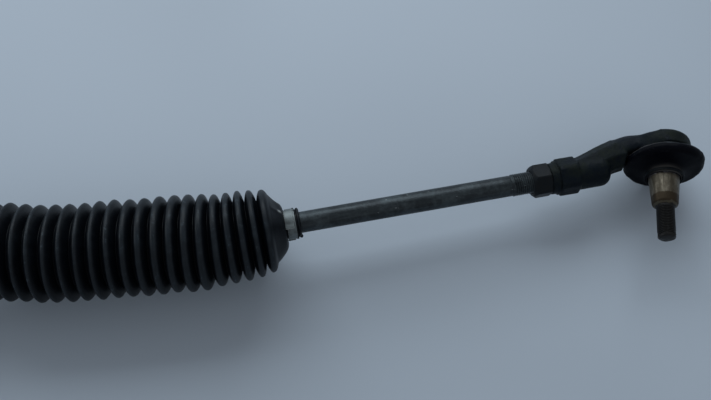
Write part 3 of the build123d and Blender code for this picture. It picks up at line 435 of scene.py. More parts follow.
class NodeBench:
    """Adds nodes to one node tree and joins them.

    Args:
        tree: The node tree to work in.
    """

    def __init__(self, tree: bpy.types.NodeTree) -> None:
        """Starts with an empty tree."""
        self.tree = tree
        tree.nodes.clear()

    def add(self, kind: str, **inputs: object) -> bpy.types.Node:
        """Adds a node.

        Args:
            kind: The node's type, without the word ShaderNode.
            **inputs: Values or sockets by input name, with _ for a space.

        Returns:
            The new node.
        """
        node = self.tree.nodes.new(f"ShaderNode{kind}")
        for name, value in inputs.items():
            self.feed(node.inputs[name.replace("_", " ")], value)
        return node

    def feed(self, target: Socket, value: object) -> None:
        """Links a socket to an input, or sets the input's own value."""
        if isinstance(value, bpy.types.NodeSocket):
            self.tree.links.new(value, target)
        elif target.type == "RGBA" and len(value) == 3:
            target.default_value = (*value, 1.0)
        else:
            target.default_value = value

    def math(self, operation: str, *values: object) -> Socket:
        """Adds a Math node and gives its result."""
        node = self.tree.nodes.new("ShaderNodeMath")
        node.operation = operation
        for target, value in zip(node.inputs, values):
            self.feed(target, value)
        return node.outputs[0]

    def vector(self, operation: str, *values: object) -> bpy.types.Node:
        """Adds a Vector Math node; a number goes to its Scale."""
        node = self.tree.nodes.new("ShaderNodeVectorMath")
        node.operation = operation
        vectors = [entry for entry in node.inputs if entry.type == "VECTOR"]
        for value in values:
            is_number = isinstance(value, float) or getattr(value, "type", "") == "VALUE"
            self.feed(node.inputs["Scale"] if is_number else vectors.pop(0), value)
        return node

    def mix(self, share: object, one: object, other: object) -> Socket:
        """Mixes two colours by a share from 0 to 1."""
        node = self.tree.nodes.new("ShaderNodeMix")
        node.data_type = "RGBA"
        colours = [entry for entry in node.inputs if entry.type == "RGBA"]
        self.feed(node.inputs[0], share)
        self.feed(colours[0], one)
        self.feed(colours[1], other)
        return next(entry for entry in node.outputs if entry.type == "RGBA")

    def noise(self, vector: object, scale: object, detail: float = 4.0, roughness: float = 0.55) -> Socket:
        """Adds a Noise Texture and gives its value from 0 to 1."""
        node = self.add("TexNoise", Vector=vector, Scale=scale, Detail=detail, Roughness=roughness)
        return node.outputs["Fac"]

    def between(self, value: object, low: object, high: object, start: float = 0.0, end: float = 1.0) -> Socket:
        """Maps a value from low..high to start..end with level ends."""
        node = self.tree.nodes.new("ShaderNodeMapRange")
        node.interpolation_type = "SMOOTHSTEP"
        for name, given in (("Value", value), ("From Min", low), ("From Max", high)):
            self.feed(node.inputs[name], given)
        node.inputs["To Min"].default_value = start
        node.inputs["To Max"].default_value = end
        return node.outputs["Result"]

    def group(self, shared: bpy.types.NodeTree, **inputs: object) -> bpy.types.Node:
        """Places a shared effect with its own values."""
        node = self.tree.nodes.new("ShaderNodeGroup")
        node.node_tree = shared
        for name, value in inputs.items():
            self.feed(node.inputs[name.replace("_", " ")], value)
        return node

    def mask(self, shared: bpy.types.NodeTree, **inputs: object) -> Socket:
        """Places a shared effect and gives its mask."""
        return self.group(shared, **inputs).outputs["Mask"]

    def mark(self, name: str) -> Socket:
        """The value that the mesh carries under a name."""
        node = self.add("Attribute")
        node.attribute_name = name
        return node.outputs["Fac"]


@dataclass(frozen=True)
class Port:
    """A named input or output of a shared effect.

    Args:
        name: The name of the socket.
        kind: The type of socket, such as Float or Vector.
        value: The value that it starts with.
    """

    name: str
    kind: str = "Float"
    value: object = None


def shared_effect(name: str, inputs: list[Port], output: Port) -> tuple[NodeBench, bpy.types.Node, Socket]:
    """Starts a shader node group.

    Args:
        name: The name of the effect.
        inputs: What a material gives to it.
        output: What it gives back.

    Returns:
        The bench of the group, its input node and the socket to feed with the result.
    """
    tree = bpy.data.node_groups.new(name, "ShaderNodeTree")
    bench = NodeBench(tree)
    for port in inputs:
        entry = tree.interface.new_socket(port.name, in_out="INPUT", socket_type=f"NodeSocket{port.kind}")
        if port.value is not None:
            entry.default_value = port.value
    tree.interface.new_socket(output.name, in_out="OUTPUT", socket_type=f"NodeSocket{output.kind}")
    given = tree.nodes.new("NodeGroupInput")
    result = tree.nodes.new("NodeGroupOutput")
    return bench, given, result.inputs[0]


class Effects:
    """The effects that several finishes share, each built once as a node group."""

    def __init__(self) -> None:
        """Builds all the groups."""
        self.place = self._build_place()
        self.mottle = self._build_mottle()
        self.streaks = self._build_streaks()
        self.edge_wear = self._build_edge_wear()
        self.grime = self._build_grime()
        self.dust = self._build_dust()

    @staticmethod
    def _build_place() -> bpy.types.NodeTree:
        """Place on the part, mirrored and shifted on the left so that the sides don't match."""
        bench, given, result = shared_effect("place_on_part", [Port("Shift", value=0.7)], Port("Vector", "Vector"))
        where = bench.add("TexCoord").outputs["Object"]
        apart = bench.add("SeparateXYZ", Vector=where)
        left = bench.math("LESS_THAN", apart.outputs["X"], 0.0)
        mirrored = bench.add(
            "CombineXYZ",
            X=bench.math("ABSOLUTE", apart.outputs["X"]),
            Y=apart.outputs["Y"],
            Z=bench.math("MULTIPLY_ADD", left, given.outputs["Shift"], apart.outputs["Z"]),
        )
        bench.feed(result, mirrored.outputs["Vector"])
        return bench.tree

    @staticmethod
    def _build_mottle() -> bpy.types.NodeTree:
        """Cloudy patches: coarse noise broken up by fine noise."""
        ports = [Port("Vector", "Vector"), Port("Scale", value=60.0), Port("Low", value=0.4), Port("High", value=0.6)]
        bench, given, result = shared_effect("mottle", ports, Port("Mask"))
        coarse = bench.noise(given.outputs["Vector"], given.outputs["Scale"], detail=6.0, roughness=0.6)
        fine_scale = bench.math("MULTIPLY", given.outputs["Scale"], 5.3)
        fine = bench.noise(given.outputs["Vector"], fine_scale, detail=3.0, roughness=0.7)
        both = bench.math("MULTIPLY_ADD", fine, 0.35, bench.math("MULTIPLY", coarse, 0.65))
        bench.feed(result, bench.between(both, given.outputs["Low"], given.outputs["High"]))
        return bench.tree

    @staticmethod
    def _build_streaks() -> bpy.types.NodeTree:
        """Patches drawn out along an axis, as drawn bar and wiped rubber have."""
        ports = [
            Port("Vector", "Vector"),
            Port("Axis", "Vector"),
            Port("Scale", value=300.0),
            Port("Shrink", value=0.9),
            Port("Low", value=0.5),
            Port("High", value=0.7),
        ]
        bench, given, result = shared_effect("streaks", ports, Port("Mask"))
        along = bench.vector("DOT_PRODUCT", given.outputs["Vector"], given.outputs["Axis"]).outputs["Value"]
        taken = bench.math("MULTIPLY", along, given.outputs["Shrink"])
        step = bench.vector("SCALE", given.outputs["Axis"], taken).outputs["Vector"]
        drawn = bench.vector("SUBTRACT", given.outputs["Vector"], step).outputs["Vector"]
        value = bench.noise(drawn, given.outputs["Scale"], detail=5.0, roughness=0.62)
        bench.feed(result, bench.between(value, given.outputs["Low"], given.outputs["High"]))
        return bench.tree

    @staticmethod
    def _build_edge_wear() -> bpy.types.NodeTree:
        """Edges rubbed bright: where a rounded normal leaves the true one, broken up by noise."""
        ports = [
            Port("Vector", "Vector"),
            Port("Radius", value=0.0006),
            Port("Scale", value=400.0),
            Port("Amount", value=0.5),
        ]
        bench, given, result = shared_effect("edge_wear", ports, Port("Mask"))
        rounded = bench.tree.nodes.new("ShaderNodeBevel")
        rounded.samples = EDGE_SAMPLES
        bench.feed(rounded.inputs["Radius"], given.outputs["Radius"])
        true_normal = bench.add("NewGeometry").outputs["Normal"]
        level = bench.vector("DOT_PRODUCT", rounded.outputs["Normal"], true_normal).outputs["Value"]
        edge = bench.between(bench.math("SUBTRACT", 1.0, level), 0.02, 0.16)
        broken = bench.noise(given.outputs["Vector"], given.outputs["Scale"], detail=4.0, roughness=0.7)
        kept = bench.between(bench.math("ADD", broken, given.outputs["Amount"]), 0.75, 1.05)
        bench.feed(result, bench.math("MULTIPLY", edge, kept))
        return bench.tree

    @staticmethod
    def _build_grime() -> bpy.types.NodeTree:
        """Painted shade in corners and under things, from ambient occlusion, mixed with blotches of dirt along its
        border.
        """
        ports = [
            Port("Vector", "Vector"),
            Port("Distance", value=0.006),
            Port("Scale", value=90.0),
            Port("Amount", value=0.5),
        ]
        bench, given, result = shared_effect("grime", ports, Port("Mask"))
        hollow = bench.tree.nodes.new("ShaderNodeAmbientOcclusion")
        hollow.samples = EDGE_SAMPLES
        bench.feed(hollow.inputs["Distance"], given.outputs["Distance"])
        shut = bench.math("SUBTRACT", 1.0, hollow.outputs["AO"])
        blotch = bench.noise(given.outputs["Vector"], given.outputs["Scale"], detail=5.0, roughness=0.65)
        total = bench.math("ADD", shut, bench.math("MULTIPLY_ADD", blotch, 0.8, -0.55))
        bench.feed(result, bench.math("MULTIPLY", bench.between(total, 0.1, 0.55), given.outputs["Amount"]))
        return bench.tree

    @staticmethod
    def _build_dust() -> bpy.types.NodeTree:
        """Dust that lies on what faces up."""
        ports = [Port("Vector", "Vector"), Port("Scale", value=120.0), Port("Amount", value=0.3)]
        bench, given, result = shared_effect("dust", ports, Port("Mask"))
        facing = bench.add("SeparateXYZ", Vector=bench.add("NewGeometry").outputs["Normal"]).outputs["Z"]
        lying = bench.between(facing, 0.2, 1.0)
        patch = bench.between(bench.noise(given.outputs["Vector"], given.outputs["Scale"]), 0.35, 0.75)
        bench.feed(result, bench.math("MULTIPLY", bench.math("MULTIPLY", lying, patch), given.outputs["Amount"]))
        return bench.tree


# ---------------------------------------------------------------- finishes


@dataclass(frozen=True)
class MetalFinish:
    """A worn metal surface.

    Args:
        name: The name of the material.
        slot: The material slot of the record that it stands for.
        base: The colour of most of the surface.
        patch: The colour of its patches.
        rubbed: The colour of rubbed edges.
        dirt: The colour of the painted shade and dirt in its corners.
        metallic: How metallic it is.
        roughness: Its roughness where clean, and where patched.
        patch_scale: How fine the patches are.
        patch_low: Where the patches begin; lower gives more.
        wear: How much of the edges is rubbed.
        wear_radius: How far from an edge it is rubbed.
        grime: How much painted shade and dirt darken the corners.
        grain_scale: How fine the surface's grain is.
        grain_depth: How deep that grain is.
        axis: The direction that streaks run in, or none.
        nick_low: Where bright nicks begin along the streaks; lower gives more.
        specular: How much its bare parts shine where they aren't metallic.
    """

    name: str
    slot: str
    base: Colour
    patch: Colour
    rubbed: Colour
    dirt: Colour = (0.012, 0.012, 0.013)
    metallic: float = 1.0
    roughness: tuple[float, float] = (0.38, 0.55)
    patch_scale: float = 60.0
    patch_low: float = 0.42
    wear: float = 0.45
    wear_radius: float = 0.0006
    grime: float = 0.6
    grain_scale: float = 900.0
    grain_depth: float = 0.00003
    axis: tuple[float, float, float] | None = None
    nick_low: float = 0.66
    specular: float = 0.5

    def build(self, effects: Effects) -> bpy.types.Material:
        """Makes the material.

        Args:
            effects: The shared effects.

        Returns:
            The material.
        """
        material, bench, where = start_material(self.name, effects)
        patches = bench.mask(
            effects.mottle, Vector=where, Scale=self.patch_scale, Low=self.patch_low, High=self.patch_low + 0.22
        )
        colour = bench.mix(patches, self.base, self.patch)
        if self.axis:
            drawn = bench.mask(
                effects.streaks, Vector=where, Axis=self.axis, Scale=420.0, Shrink=0.93, Low=0.42, High=0.78
            )
            colour = bench.mix(bench.math("MULTIPLY", drawn, 0.55), colour, self.patch)
            nicks = bench.mask(
                effects.streaks,
                Vector=where,
                Axis=self.axis,
                Scale=560.0,
                Shrink=0.72,
                Low=self.nick_low,
                High=self.nick_low + 0.05,
            )
            colour = bench.mix(nicks, colour, self.rubbed)
        worn = bench.mask(
            effects.edge_wear, Vector=where, Radius=self.wear_radius, Scale=420.0, Amount=self.wear
        )
        colour = bench.mix(worn, colour, self.rubbed)
        # Painted shade: ambient occlusion darkens corners and recesses toward the dirt colour, with blotches of dirt.
        dirt = bench.mask(effects.grime, Vector=where, Distance=0.006, Scale=110.0, Amount=self.grime)
        colour = bench.mix(dirt, colour, self.dirt)
        rough = bench.between(patches, 0.0, 1.0, *self.roughness)
        rough = bench.math("MAXIMUM", rough, bench.math("MULTIPLY", dirt, 0.85))
        metal = bench.math("MULTIPLY", bench.math("SUBTRACT", 1.0, dirt), self.metallic)
        grain = bench.noise(where, self.grain_scale, detail=5.0, roughness=0.6)
        rounded = bench.tree.nodes.new("ShaderNodeBevel")
        rounded.samples = EDGE_SAMPLES
        rounded.inputs["Radius"].default_value = self.wear_radius * 0.6
        bump = bench.add(
            "Bump", Height=grain, Distance=self.grain_depth * 10, Strength=0.5, Normal=rounded.outputs["Normal"]
        )
        shader = bench.add(
            "BsdfPrincipled", Base_Color=colour, Roughness=rough, Metallic=metal, Normal=bump.outputs["Normal"]
        )
        shader.inputs["Specular IOR Level"].default_value = self.specular
        close_material(bench, shader)
        return material


@dataclass(frozen=True)
class RubberFinish:
    """A moulded rubber or plastic surface.

    Args:
        name: The name of the material.
        slot: The material slot of the record that it stands for.
        base: Its colour where clean.
        bloom: The colour of the film that old rubber gets.
        dust: The colour of the dust that lies on it, and of the painted highlight that crest_film gives the crests.
        roughness: Its roughness where clean, and where filmed.
        specular: How much it shines.
        bloom_low: Where the film begins; lower gives more.
        dusty: How much dust lies on it.
        crest_wear: How much the crests are scuffed.
        crest_film: How much the crests are lightened toward the dust colour: partly dust rubbed in, partly a painted
            highlight along the crests.
        marked: The colour of the places that the mesh marks, or none: pale nicks on the bellows, and on the boot
            painted highlights, partly of dust.
        grain_scale: How fine its grain is.
        grain_depth: How deep that grain is.
    """

    name: str
    slot: str
    base: Colour
    bloom: Colour
    dust: Colour = (0.09, 0.095, 0.1)
    roughness: tuple[float, float] = (0.34, 0.6)
    specular: float = 0.4
    bloom_low: float = 0.5
    dusty: float = 0.12
    crest_wear: float = 0.0
    crest_film: float = 0.0
    marked: Colour | None = None
    grain_scale: float = 1400.0
    grain_depth: float = 0.00002

    def build(self, effects: Effects) -> bpy.types.Material:
        """Makes the material.

        Args:
            effects: The shared effects.

        Returns:
            The material.
        """
        material, bench, where = start_material(self.name, effects)
        film = bench.mask(
            effects.mottle, Vector=where, Scale=70.0, Low=self.bloom_low, High=self.bloom_low + 0.25
        )
        colour = bench.mix(film, self.base, self.bloom)
        dust = bench.mask(effects.dust, Vector=where, Scale=150.0, Amount=self.dusty)
        colour = bench.mix(dust, colour, self.dust)
        if self.crest_wear:
            crest = bench.mark("crest")
            scuffs = bench.mask(effects.mottle, Vector=where, Scale=260.0, Low=0.56, High=0.66)
            high = bench.between(crest, 0.86, 1.0, 0.0, self.crest_wear)
            colour = bench.mix(bench.math("MULTIPLY", scuffs, high), colour, self.dust)
            # Painted highlight: every crest is lightened toward the dust colour, standing in for the sheen along the
            # fold crests, partly dust rubbed in.
            rubbed = bench.between(crest, 0.84, 1.0, 0.0, self.crest_film)
            colour = bench.mix(rubbed, colour, self.dust)
        # Marked places: pale nicks on the bellows; on the boot, painted highlights partly of dust.
        if self.marked:
            colour = bench.mix(bench.mark("mark"), colour, self.marked)
        rough = bench.between(film, 0.0, 1.0, *self.roughness)
        rough = bench.math("MAXIMUM", rough, bench.math("MULTIPLY", dust, 3.0))
        grain = bench.noise(where, self.grain_scale, detail=4.0, roughness=0.6)
        bump = bench.add("Bump", Height=grain, Distance=self.grain_depth * 10, Strength=0.45)
        shader = bench.add("BsdfPrincipled", Base_Color=colour, Roughness=rough, Normal=bump.outputs["Normal"])
        shader.inputs["Specular IOR Level"].default_value = self.specular
        close_material(bench, shader)
        return material


@dataclass(frozen=True)
class StudFinish:
    """The tarnished ball stud: a painted highlight on the neck, tan taper, brown shoulder with a painted highlight
    ring at its edge, and dark thread.

    Args:
        name: The name of the material.
        slot: The material slot of the record that it stands for.
        axis: The direction of the stud.
        taper_start: Where the taper starts along the stud.
        taper_end: Where it ends in the shoulder.
        tan: The colour of the taper.
        tan_pale: The colour of its streaks.
        brown: The colour of the shoulder.
        dark: The colour of the thread.
        bright: The pale colour of the neck, a painted highlight mottled with the dark colour.
        raggedness: How far the borders of its bands wander.
    """

    name: str
    slot: str
    axis: tuple[float, float, float]
    taper_start: float
    taper_end: float
    tan: Colour = (0.085, 0.074, 0.054)
    tan_pale: Colour = (0.2, 0.178, 0.14)
    brown: Colour = (0.04, 0.029, 0.017)
    dark: Colour = (0.021, 0.021, 0.0215)
    bright: Colour = (0.24, 0.235, 0.26)
    raggedness: float = 2.4 * MM

    def build(self, effects: Effects) -> bpy.types.Material:
        """Makes the material.

        Args:
            effects: The shared effects.

        Returns:
            The material.
        """
        material, bench, where = start_material(self.name, effects)
        ragged = bench.noise(where, 380.0, detail=5.0)
        centred = bench.math("SUBTRACT", bench.mark("along"), self.raggedness / 2)
        place = bench.math("MULTIPLY_ADD", ragged, self.raggedness, centred)
        streaks = bench.mask(
            effects.streaks, Vector=where, Axis=self.axis, Scale=330.0, Shrink=0.86, Low=0.42, High=0.72
        )
        patches = bench.mask(effects.mottle, Vector=where, Scale=190.0, Low=0.42, High=0.6)
        taper = bench.mix(streaks, self.tan, self.tan_pale)
        taper = bench.mix(bench.math("MULTIPLY", patches, 0.4), taper, self.brown)
        start = self.taper_start
        end = self.taper_end
        top = bench.between(place, start - 1.0 * MM, start + 0.6 * MM)
        # Painted highlight: before the taper the neck is pale purple-grey, mottled with dark.
        colour = bench.mix(top, bench.mix(patches, self.bright, self.dark), taper)
        colour = bench.mix(bench.between(place, end - 6.4 * MM, end - 5.6 * MM), colour, self.brown)
        # Painted highlight: a tan ring just past the shoulder's edge, where light catches it.
        colour = bench.mix(bench.between(place, end + 0.2 * MM, end + 0.5 * MM), colour, self.tan)
        colour = bench.mix(bench.between(place, end + 1.2 * MM, end + 1.8 * MM), colour, self.dark)
        worn = bench.mask(effects.edge_wear, Vector=where, Radius=0.0004, Scale=500.0, Amount=0.22)
        colour = bench.mix(bench.math("MULTIPLY", worn, 0.6), colour, self.tan_pale)
        rough = bench.between(streaks, 0.0, 1.0, 0.52, 0.34)
        grain = bench.noise(where, 1100.0, detail=5.0)
        bump = bench.add("Bump", Height=grain, Distance=0.0003, Strength=0.4)
        shader = bench.add("BsdfPrincipled", Base_Color=colour, Roughness=rough, Normal=bump.outputs["Normal"])
        shader.inputs["Metallic"].default_value = 0.75
        close_material(bench, shader)
        return material


def start_material(name: str, effects: Effects) -> tuple[bpy.types.Material, NodeBench, Socket]:
    """An empty material, its bench and the socket that gives the place on the part."""
    material = bpy.data.materials.new(name)
    material.use_nodes = True
    bench = NodeBench(material.node_tree)
    return material, bench, bench.group(effects.place).outputs["Vector"]


def close_material(bench: NodeBench, shader: bpy.types.Node) -> None:
    """Joins the shader to the output of its material."""
    output = bench.tree.nodes.new("ShaderNodeOutputMaterial")
    bench.feed(output.inputs["Surface"], shader.outputs["BSDF"])


class Finishes:
    """All the finishes of the gear, by material slot.

    Args:
        effects: The shared effects.
        axes: The axes of the right-hand tie rod, which streaks follow.
        stud: The sizes of the stud, whose bands its finish follows.
    """

    def __init__(self, effects: Effects, axes: TieRodAxes, stud: "BallStud") -> None:
        """Builds every material once."""
        rod, along_stud = tuple(axes.rod.along), tuple(axes.stud.along)
        kinds = [
            MetalFinish(
                "cast_alloy", "cast_alloy", (0.33, 0.335, 0.34), (0.2, 0.205, 0.21), (0.6, 0.6, 0.6),
                dirt=(0.035, 0.032, 0.028), metallic=0.85, roughness=(0.46, 0.62), wear=0.4, grime=0.85,
                grain_scale=700.0, grain_depth=0.00006,
            ),
            MetalFinish(
                "painted_tube", "painted_tube", (0.014, 0.016, 0.019), (0.024, 0.026, 0.028), (0.11, 0.1, 0.09),
                metallic=0.25, roughness=(0.36, 0.5), wear=0.42, grime=0.5, grain_depth=0.00002,
            ),
            MetalFinish(
                "spring_steel", "spring_steel", (0.2, 0.21, 0.23), (0.11, 0.11, 0.12), (0.5, 0.5, 0.5), grime=0.4,
            ),
            MetalFinish(
                "zinc_steel", "zinc_steel", (0.46, 0.46, 0.43), (0.3, 0.29, 0.25), (0.66, 0.66, 0.64),
                dirt=(0.04, 0.032, 0.024), roughness=(0.34, 0.5), grime=0.7,
            ),
            MetalFinish(
                "bright_steel", "bright_steel", (0.42, 0.43, 0.45), (0.28, 0.28, 0.29), (0.65, 0.65, 0.66),
                dirt=(0.03, 0.024, 0.018), roughness=(0.24, 0.4), grime=0.5, grain_depth=0.00001,
            ),
            MetalFinish(
                "dark_steel", "dark_steel", (0.018, 0.024, 0.029), (0.058, 0.075, 0.085), (0.34, 0.38, 0.4),
                metallic=0.62, roughness=(0.42, 0.5), patch_scale=46.0, wear=0.12, grime=0.3, axis=rod, nick_low=0.675,
            ),
            MetalFinish(
                "forged_iron", "forged_iron", (0.0032, 0.0066, 0.0115), (0.01, 0.0145, 0.0125), (0.06, 0.075, 0.085),
                metallic=0.1, roughness=(0.42, 0.56), patch_scale=38.0, wear=0.2, wear_radius=0.0009, grime=0.5,
                grain_scale=520.0, grain_depth=0.00009, specular=0.1,
            ),
            MetalFinish(
                "clamp_steel", "clamp_steel", (0.17, 0.2, 0.21), (0.1, 0.115, 0.12), (0.42, 0.45, 0.46),
                metallic=0.55, roughness=(0.5, 0.62), grime=0.6,
            ),
            MetalFinish(
                "nut_steel", "nut_steel", (0.005, 0.008, 0.0115), (0.0095, 0.011, 0.012), (0.1, 0.11, 0.115),
                metallic=0.1, roughness=(0.44, 0.56), wear=0.14, grime=0.5, specular=0.14,
            ),
            StudFinish("stud_steel", "stud_steel", along_stud, stud.taper_start, stud.taper_end),
            # Painted highlight: crest_film lightens every crest toward the bluish dust colour, partly dust; the marked
            # colour is the pale nick in the cone.
            RubberFinish(
                "bellows_rubber", "bellows_rubber", (0.0012, 0.0024, 0.0045), (0.0025, 0.0045, 0.007), specular=0.16,
                dust=(0.07, 0.095, 0.12), roughness=(0.4, 0.6), crest_wear=0.7, crest_film=0.13,
                marked=(0.42, 0.45, 0.46),
            ),
            # Painted highlight: the boot's marked colour paints a pale line on one side of its bulge's back edge and
            # the top of its lip, partly dust.
            RubberFinish(
                "boot_rubber", "boot_rubber", (0.0012, 0.0018, 0.0042), (0.003, 0.0042, 0.007), roughness=(0.42, 0.62),
                specular=0.05, dusty=0.015, crest_wear=0.15, marked=(0.15, 0.145, 0.14),
            ),
            RubberFinish("rubber", "rubber", (0.009, 0.009, 0.01), (0.022, 0.022, 0.022), roughness=(0.5, 0.7)),
            RubberFinish("black_plastic", "black_plastic", (0.012, 0.012, 0.013), (0.02, 0.02, 0.021)),
            RubberFinish(
                "nylon", "nylon", (0.62, 0.59, 0.5), (0.45, 0.4, 0.3), dust=(0.3, 0.27, 0.2), roughness=(0.4, 0.55),
            ),
        ]
        self.materials = {kind.slot: kind.build(effects) for kind in kinds}

    def of(self, slot: str) -> bpy.types.Material:
        """The material for a slot of the record."""
        return self.materials[slot]

    def dress_nodes(self) -> int:
        """Gives each CAD node the finish of its slot and returns how many there are."""
        for node in frame["nodes"].values():
            for place in node.material_slots:
                slot = "nut_steel" if "boot_ring_small" in node.name else place.material.name.split(".")[0]
                place.material = self.of(slot)
        return len(frame["nodes"])


# ---------------------------------------------------------------- bellows


@dataclass(frozen=True)
class Station:
    """One ring of a bellows.

    Args:
        distance: Its place along the bellows, from the inner ball.
        radius: The outer radius.
        crest: 0 in a root and 1 on a crest.
        fold: The number of the fold that it belongs to, or -1.
    """

    distance: float
    radius: float
    crest: float = 0.0
    fold: int = -1


@dataclass
class Bellows:
    """One ribbed bellows, made in three pieces that meet in roots.

    Args:
        axes: The axes of the right-hand tie rod.
        finishes: The materials.
        tube_radius: The radius of the end that the large neck sits on.
        seat_start: Where the large neck starts, from the inner ball.
        fold_start: Where the folds start.
        cone_start: Where the folds end and the cone starts.
        cone_end: Where the cone ends.
        lip_end: Where the small neck ends.
        folds: How many folds there are.
        crest_radius: The radius of the crests.
        root_radius: The radius of the roots.
        crest_powers: How folds fall away from their crests on the rack and on the rod; more gives rounder crests.
        crest_change: Where it changes from one to the other.
        last_sizes: How much larger each of the last folds is, up to the cone.
        taper: How much narrower the last fold is.
        taper_length: Over what length the folds narrow.
        cone_radii: The radii of the cone at its start and end.
        neck_radius: The radius of the small neck.
        wall: How thick the rubber is.
        bend_length: How far each side of the ball the bend reaches.
        gather: How much closer the last folds lie than the first.
        gather_length: Over what length beyond the ball they draw closer.
        tilts: How far the folds tilt, in degrees: on the rack, more at the ball, and more towards the cone.
        sag: How far the folds hang to the front beyond the ball.
        sag_start: Where they begin to hang.
        sag_ramp: Over what length they reach their lowest.
        sag_waves: Where else they hang, as (share of the sag, middle, width).
        tilt_ramps: Where the second and the third tilt start, and over what length they grow.
        crease_angle: Where the cone is creased and nicked.
        swell_angle: Where the cone swells.
        nib_angle: Where the lip has its nib.
        lip: The outline of the lip in millimetres, as (back from its end, out from the neck).
        fold_share: How much of its width a fold's outline covers.
        fold_steps: How many rings a fold gets.
        lean: How far a fold may lean along the bellows.
        uneven_size: How much a fold's size may differ.
        waviness: How far a crest wanders round the bellows.
        least_radius: The radius that clears the rod.
        segments: How many vertices go round it.
        yaw_seam: Where the first piece ends.
        pitch_seam: Where the second piece ends.
        pitch_end: Where the last ring given to join for the third piece lies.
    """

    axes: TieRodAxes
    finishes: Finishes
    tube_radius: float
    seat_start: float
    fold_start: float
    cone_start: float = 99.5 * MM
    cone_end: float = 107.3 * MM
    lip_end: float = 118.9 * MM
    folds: int = 20
    crest_radius: float = 33.8 * MM
    root_radius: float = 26.0 * MM
    crest_powers: tuple[float, float] = (1.55, 2.45)
    crest_change: tuple[float, float] = (-35 * MM, 45 * MM)
    last_sizes: tuple[float, ...] = (-0.35 * MM, 0.1 * MM, 0.65 * MM, 0.5 * MM, -0.4 * MM)
    taper: float = 4.5 * MM
    taper_length: float = 54 * MM
    cone_radii: tuple[float, float] = (24.0 * MM, 14.4 * MM)
    neck_radius: float = 10.0 * MM
    wall: float = 1.6 * MM
    bend_length: float = 50 * MM
    gather: float = 0.2
    gather_length: float = 96 * MM
    tilts: tuple[float, float, float] = (1.8, 1.7, 8.8)
    sag: float = 2.5 * MM
    sag_start: float = 28 * MM
    sag_ramp: float = 28 * MM
    sag_waves: tuple[tuple[float, float, float], ...] = ((0.5, -55 * MM, 20 * MM), (-0.36, -8 * MM, 14 * MM))
    tilt_ramps: tuple[tuple[float, float], ...] = ((-80 * MM, 60 * MM), (35 * MM, 60 * MM))
    crease_angle: float = -0.33
    swell_angle: float = 1.9
    nib_angle: float = 1.8
    lip: tuple[tuple[float, float], ...] = (
        (5.0, -0.2), (4.4, 0.5), (3.4, 0.5), (2.9, -0.8), (2.3, -0.8), (1.8, 0.1), (0.8, 0.1), (0.0, -1.0),
    )
    fold_share: float = 0.98
    fold_steps: int = 15
    lean: float = 0.35 * MM
    uneven_size: float = 0.22 * MM
    waviness: float = 0.45 * MM
    least_radius: float = 7.8 * MM
    segments: int = 120
    yaw_seam: float = 12 * MM
    pitch_seam: float = 37 * MM
    pitch_end: float = 80 * MM

    def centre(self, distance: float) -> Vector:
        """The middle of the bellows at a distance: on the rack, round a bend at the ball, then on the rod."""
        before, after = self.axes.rack.along, self.axes.rod.along
        share = min(1.0, max(0.0, (distance / self.bend_length + 1) / 2))
        middle = (after * share**2 - before * (1 - share) ** 2) * self.bend_length
        middle += before * min(0.0, distance + self.bend_length) + after * max(0.0, distance - self.bend_length)
        hang = smooth((distance - self.sag_start) / self.sag_ramp)
        hang *= 1 - smooth((distance - self.cone_start + 7 * MM) / (13 * MM))
        hang += sum(height * hump(distance, place, width) for height, place, width in self.sag_waves)
        front = after.cross(self.axes.rack.up).normalized()
        return self.axes.rod.origin + middle + front * self.sag * hang

    def section(self, distance: float) -> Line:
        """The line square to a fold, which tilts less than the bellows bends; the cone is square to the rod."""
        tilt = self.tilts[0]
        for more, (start, length) in zip(self.tilts[1:], self.tilt_ramps):
            tilt += more * smooth((distance - start) / length)
        before, after = self.axes.rack.along, self.axes.rod.along
        share = min(1.0, math.radians(tilt) / before.angle(after))
        along = (before * (1 - share) + after * share).normalized()
        front = along.cross(self.axes.rack.up).normalized()
        return Line(self.centre(distance), along, front.cross(along))

    def fold_edges(self) -> list[float]:
        """The places of the roots, from the first fold to the last."""
        span = self.cone_start - self.fold_start
        weights = []
        for fold in range(self.folds):
            middle = self.fold_start + (fold + 0.5) / self.folds * span
            weights.append(1 - self.gather * smooth(middle / self.gather_length))
        edges = [self.fold_start]
        for weight in weights:
            edges.append(edges[-1] + weight * span / sum(weights))
        return edges

